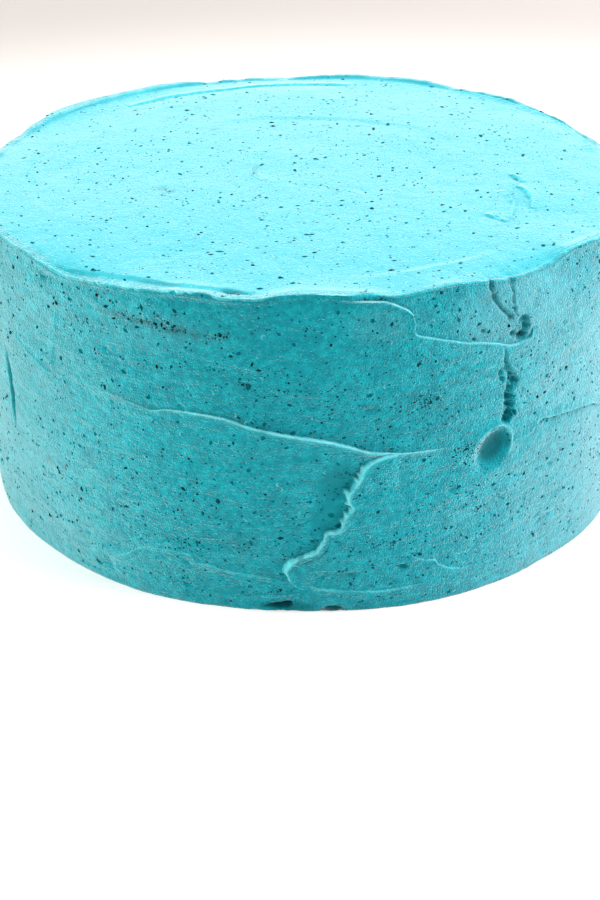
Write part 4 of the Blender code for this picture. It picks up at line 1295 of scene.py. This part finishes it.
# A frame on the surface: along (level, round the cake), across and outwards
def frameAt(at, normal):
    level = np.stack([-normal[:, 1], normal[:, 0], np.zeros(len(at))], axis=1)
    round = np.stack([-at[:, 1], at[:, 0], np.zeros(len(at))], axis=1)
    along = np.where(np.abs(normal[:, 2:]) > 0.8, round, level)
    along /= np.maximum(np.linalg.norm(along, axis=1), 1e-9)[:, None]
    along -= (along * normal).sum(axis=1)[:, None] * normal
    along /= np.linalg.norm(along, axis=1)[:, None]
    return along, np.cross(normal, along)


# Crumbs: small solids with each corner pulled in or out, flattened onto the surface and half
# sunk in it. Half sizes spread about the middle one as real crumbs do, by a ratio.
crumbKinds = {
    "biscuitDust": {
        "count": 25500, "middle": 0.18, "spread": 0.25, "sunk": 0.3, "seed": 101, "faces": 8,
        "bare": "#075862", "filmed": "#067280", "barePart": 0.25,
    },
    "biscuitCrumbs": {
        "count": 16500, "middle": 0.32, "spread": 0.46, "sunk": 0.45, "seed": 103, "faces": 20,
        "bare": "#06363c", "filmed": "#04606c", "barePart": 0.28,
    },
    "darkBiscuitCrumbs": {
        "count": 1100, "middle": 0.5, "spread": 0.32, "sunk": 0.5, "seed": 105, "faces": 20,
        "bare": "#0d1719", "filmed": "#045059", "barePart": 0.4,
    },
}
topCrumbChance = 0.27
# The crumbs that are set by place, and those in patches round them
largeCrumbs = {
    "sunk": 0.45, "scale": 0.72, "patchSize": 0.3, "patchSpread": 0.3, "placeSeed": 109, "seed": 107,
    "bare": "#141312", "filmed": "#05464e", "barePart": 0.45,
}
# Arc or x, height or y, half size
knownSideCrumbs = (
    (-60.5, 92.6, 1.1), (-56, 91.6, 1.0), (-66, 88, 0.8), (-46, 87.2, 1.0), (-40, 86.8, 0.9),
    (-37, 86.6, 1.1), (-23.5, 85.8, 1.2), (-62, 75.4, 0.7), (-59.5, 64.6, 1.2), (-56.5, 67, 0.8),
    (-42, 74.5, 0.9), (-37.6, 75.2, 1.0), (-34.8, 75.6, 0.9), (-40.4, 68.6, 0.9), (-20.6, 54.6, 0.9),
    (-21.8, 53.6, 0.8), (30.5, 67, 0.9), (33.6, 64.6, 0.9), (25, 64.6, 0.8), (46, 59.8, 0.8),
    (40, 59.0, 0.8), (18, 86.8, 0.8), (35, 90.2, 0.9), (69.6, 57.2, 1.1), (-82, 31, 1.1),
    (-76, 29.6, 0.9), (-72, 24.5, 0.9), (66, 33.6, 0.9), (47.6, 85, 1.1), (44.8, 82.6, 0.9),
    (-90, 45, 0.8), (-95, 77, 0.7), (12, 75, 0.7), (-8, 71, 0.7), (5, 66, 0.6), (-15, 33, 0.7),
    (24, 24, 0.7), (50, 27, 0.7), (-50, 40, 0.8), (-33, 47, 0.7), (80, 70, 0.7), (92, 64, 0.7),
)
knownTopCrumbs = (
    (22.5, -83, 1.2), (24.5, -84.5, 0.7), (-26, -30, 0.8), (-14, -24, 0.8), (18, -22, 0.9),
    (33, -16, 0.9), (-40, -46, 0.8), (-30, -54, 0.8), (2, -70, 0.9), (-52, -26, 0.7), (40, -34, 0.8),
    (56, 6, 0.8), (-8, 34, 0.8), (28, 44, 0.8), (-44, 20, 0.8), (-70, -8, 0.7), (12, -48, 0.7),
)
icosaFaces = np.array([
    (0, 11, 5), (0, 5, 1), (0, 1, 7), (0, 7, 10), (0, 10, 11), (1, 5, 9), (5, 11, 4),
    (11, 10, 2), (10, 7, 6), (7, 1, 8), (3, 9, 4), (3, 4, 2), (3, 2, 6), (3, 6, 8), (3, 8, 9),
    (4, 9, 5), (2, 4, 11), (6, 2, 10), (8, 6, 7), (9, 8, 1),
])


# The twelve corners of an icosahedron: three golden rectangles at right angles
def icosaCorners():
    golden = (1 + 5**0.5) / 2
    corners = [
        (-1, golden, 0), (1, golden, 0), (-1, -golden, 0), (1, -golden, 0),
        (0, -1, golden), (0, 1, golden), (0, -1, -golden), (0, 1, -golden),
        (golden, 0, -1), (golden, 0, 1), (-golden, 0, -1), (-golden, 0, 1),
    ]
    return np.array(corners) / math.hypot(1, golden)


# The eight faces and six corners of an octahedron, for the smallest crumbs
octaFaces = np.array([
    (0, 2, 4), (2, 1, 4), (1, 3, 4), (3, 0, 4), (2, 0, 5), (1, 2, 5), (3, 1, 5), (0, 3, 5),
])


def octaCorners():
    return np.array([(1, 0, 0), (-1, 0, 0), (0, 1, 0), (0, -1, 0), (0, 0, 1), (0, 0, -1)], float)


# One crumb at each place: the corners of the solid go out and in at random, then it is stretched,
# turned in the surface and sunk in by a share of its thickness
def scatterCrumbs(name, at, normal, size, random, sunk, material, faceCount=20):
    shape, shapeFaces = (octaCorners(), octaFaces) if faceCount == 8 else (icosaCorners(), icosaFaces)
    along, across = frameAt(at, normal)
    count, each = len(at), len(shape)
    flat = normal[:, 2] > 0.7
    turn = random.normal(0, 1, count)[:, None] * np.where(flat, 0.25, 0.9)[:, None]
    along, across = (
        along * np.cos(turn) + across * np.sin(turn), across * np.cos(turn) - along * np.sin(turn),
    )
    corners = shape[None] * random.uniform(0.68, 1.2, (count, each, 1))
    longer = np.where(flat, random.uniform(0.95, 1.6, count), random.uniform(0.9, 1.4, count))
    thick = random.uniform(0.4, 0.7, count) * np.where(flat, 1.5, 1.0)
    stretch = np.stack([longer, random.uniform(0.75, 1.05, count), thick], axis=1)
    local = corners * (stretch * size[:, None])[:, None]
    centre = at - normal * (size * stretch[:, 2] * sunk)[:, None]
    points = (
        centre[:, None]
        + local[..., :1] * along[:, None]
        + local[..., 1:2] * across[:, None]
        + local[..., 2:] * normal[:, None]
    ).reshape(-1, 3)
    faces = (shapeFaces[None] + each * np.arange(count)[:, None, None]).reshape(-1, 3)
    crumbs = meshFrom(name, points, faces, smooth=False)
    tint = np.repeat(random.random(count), each)
    setShare(crumbs.data, "tint", tint)
    crumbs.data.materials.append(material)
    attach(crumbs, "root")


# Chocolate biscuit ground to dust and crumbs: dark brown, most of it under a film of cream
def crumbMaterial(name, look):
    material, tree, shader = newMaterial(name)
    where = addNode(tree, "TexCoord").outputs["Object"]
    patchy = noise(tree, where, 0.7, 2.0)
    covered = worked(tree, "MULTIPLY_ADD", patchy, 0.35, shareOf(tree, "tint"))
    film = mapped(tree, covered, look["barePart"], look["barePart"] + 0.35)
    tones = {"data_type": "RGBA", 6: colour(look["bare"]), 7: colour(look["filmed"])}
    tree.links.new(addNode(tree, "Mix", tones, {0: film}).outputs[2], shader.inputs["Base Color"])
    shader.inputs["Roughness"].default_value = 0.75
    shader.inputs["IOR"].default_value = butterCream["index"]  # the film of cream keeps it from shining
    return material


def buildCrumbs(coats):
    for name, kind in crumbKinds.items():
        at, normal, random = placesOn(coats, kind["count"], kind["seed"])
        # Fewer show on the top, where the last coat of cream went on, and they lie in patches
        arc = arcOf(at[:, 0], at[:, 1])
        patch = 0.72 + 0.75 * sideNoise(arc, at[:, 2], 13, 8, kind["seed"])
        chance = np.where(normal[:, 2] < 0.7, patch, topCrumbChance)
        kept = random.random(kind["count"]) < chance
        at, normal = at[kept], normal[kept]
        size = kind["middle"] * np.exp(kind["spread"] * random.normal(0, 1, len(at)).clip(-2, 2.4))
        material = crumbMaterial(name, kind)
        scatterCrumbs(name, at, normal, size, random, kind["sunk"], material, kind["faces"])
    side, top = np.array(knownSideCrumbs), np.array(knownTopCrumbs)
    radial, level = sideSurface(side[:, 0], side[:, 1])
    onSide = roundPoints(side[:, 0], radial, level)
    level = cake["height"] + topRelief(top[:, 0], top[:, 1])
    onTop = np.stack([top[:, 0], top[:, 1], level], axis=1)
    at = np.concatenate([onSide, onTop])
    outward = roundPoints(side[:, 0], 1.0, 0 * side[:, 0])
    normal = np.concatenate([outward, np.tile((0, 0, 1.0), (len(top), 1))])
    large = largeCrumbs
    size = np.concatenate([side[:, 2], top[:, 2]]) * large["scale"]
    random = np.random.default_rng(large["placeSeed"])
    patches = np.repeat(np.array(crumbPatches), [place[4] for place in crumbPatches], axis=0)
    arc = patches[:, 0] + patches[:, 2] * random.normal(0, 0.7, len(patches))
    rest = np.clip(patches[:, 1] + patches[:, 3] * random.normal(0, 0.7, len(patches)), 3, 94)
    radial, level = sideSurface(arc, rest)
    at = np.concatenate([at, roundPoints(arc, radial, level)])
    normal = np.concatenate([normal, roundPoints(arc, 1.0, 0 * arc)])
    spread = np.exp(large["patchSpread"] * random.normal(0, 1, len(patches)))
    size = np.concatenate([size, large["patchSize"] * spread])
    material = crumbMaterial("chocolateBiscuit", large)
    random = np.random.default_rng(large["seed"])
    scatterCrumbs("largeCrumbs", at, normal, size, random, large["sunk"], material)


# Pale floor, painted darker further from the middle as shade, and soft studio light: a high window behind,
# one at each side
studio = {
    "lights": (
        # name, place, size, power, colour
        ("backRight", (1.25, 1.2, 0.9), (1.2, 1.2), 28.5, (1.06, 1.0, 0.96)),
        ("overBack", (0, 0.8, 1.7), (1.4, 1.2), 15, (1.06, 1.0, 0.96)),
        ("overhead", (0, 0, 1.8), (1.4, 1.4), 6, (1.0, 1.0, 1.0)),
        ("right", (1.5, -0.15, 0.42), (1.2, 1.0), 24.5, (1.32, 1.0, 1.02)),
        ("rightHigh", (1.2, 0, 1.4), (1.2, 1.0), 32.5, (1.16, 1.0, 1.02)),
        ("left", (-1.6, 0, 0.6), (1.2, 1.0), 25.5, (0.95, 1.0, 0.92)),
        ("leftHigh", (-1.2, 0, 1.4), (1.2, 1.0), 24.5, (1.0, 1.0, 0.94)),
        ("leftFront", (-1.4, -0.9, 0.7), (1.2, 1.0), 6, (0.95, 1.0, 1.04)),
    ),
    "aim": (0, 0, 0.05),
    "floor": ((0.14, "#e4e6e5"), (0.62, "#9b9a98")),  # m from the middle, tone; darker further out as painted shade
    "floorReach": 40000,  # mm
    "sky": (0.95, 0.97, 1.0, 1.0),
    "skyStrength": 0.16,
}


def buildStudio():
    reach = studio["floorReach"]
    corners = [(-reach, -reach, 0), (reach, -reach, 0), (reach, reach, 0), (-reach, reach, 0)]
    floor = meshFrom("paleFloor", corners, [(0, 1, 2, 3)])
    material, tree, shader = newMaterial("paleGround")
    where = addNode(tree, "TexCoord").outputs["Object"]
    far = addNode(tree, "VectorMath", {"operation": "LENGTH"}, {0: where})
    # painted shade: the floor's tone darkens away from the middle
    ramp = toneRamp(tree, far.outputs["Value"], studio["floor"])
    ramp.color_ramp.interpolation = "EASE"
    tree.links.new(ramp.outputs["Color"], shader.inputs["Base Color"])
    shader.inputs["Roughness"].default_value = 0.6
    floor.data.materials.append(material)
    for name, place, size, power, tint in studio["lights"]:
        lamp = bpy.data.lights.new(name, "AREA")
        lamp.shape = "RECTANGLE"
        lamp.size, lamp.size_y = size
        lamp.energy = power
        lamp.color = tint
        holder = bpy.data.objects.new(name, lamp)
        holder.location = place
        holder.rotation_euler = (Vector(studio["aim"]) - Vector(place)).to_track_quat("-Z", "Y").to_euler()
        bpy.context.scene.collection.objects.link(holder)
    world = bpy.data.worlds.new("studio")
    world.use_nodes = True
    background = world.node_tree.nodes["Background"]
    background.inputs["Color"].default_value = studio["sky"]
    background.inputs["Strength"].default_value = studio["skyStrength"]
    bpy.context.scene.world = world


# The photograph's view: 566 mm from a point just under the middle of the cake's foot
view = {"aim": (-2.5, 0.0, -3.69), "distance": 566.4, "elevation": 28.77, "roll": -0.51, "focal": 66.24}


def buildCamera():
    lens = bpy.data.cameras.new("camera")
    lens.sensor_width = 36
    lens.lens = view["focal"]
    lens.clip_start, lens.clip_end = 0.01, 50
    camera = bpy.data.objects.new("camera", lens)
    elevation = math.radians(view["elevation"])
    back = Vector((0, -math.cos(elevation), math.sin(elevation)))
    camera.location = (Vector(view["aim"]) + back * view["distance"]) * mm
    turned = (-back).to_track_quat("-Z", "Y").to_matrix().to_4x4()
    roll = Matrix.Rotation(math.radians(view["roll"]), 4, "Z")
    camera.matrix_world = Matrix.Translation(camera.location) @ turned @ roll
    bpy.context.scene.collection.objects.link(camera)
    bpy.context.scene.camera = camera


buildCamera()
buildStudio()
print("camera and light ready")
cream = butterCreamMaterial()
coat = buildCream(cream)
print("buttercream coat:", len(coat.data.polygons), "faces")
front = stripsMesh("frontSheet", [sheetGrid()], cream)
buildLips(cream)
print("lips and curls laid on")
buildCrumbs([coat, front])
print("crumbs scattered")

shown = bpy.context.scene.view_settings
shown.view_transform = "Standard"
shown.look = "None"
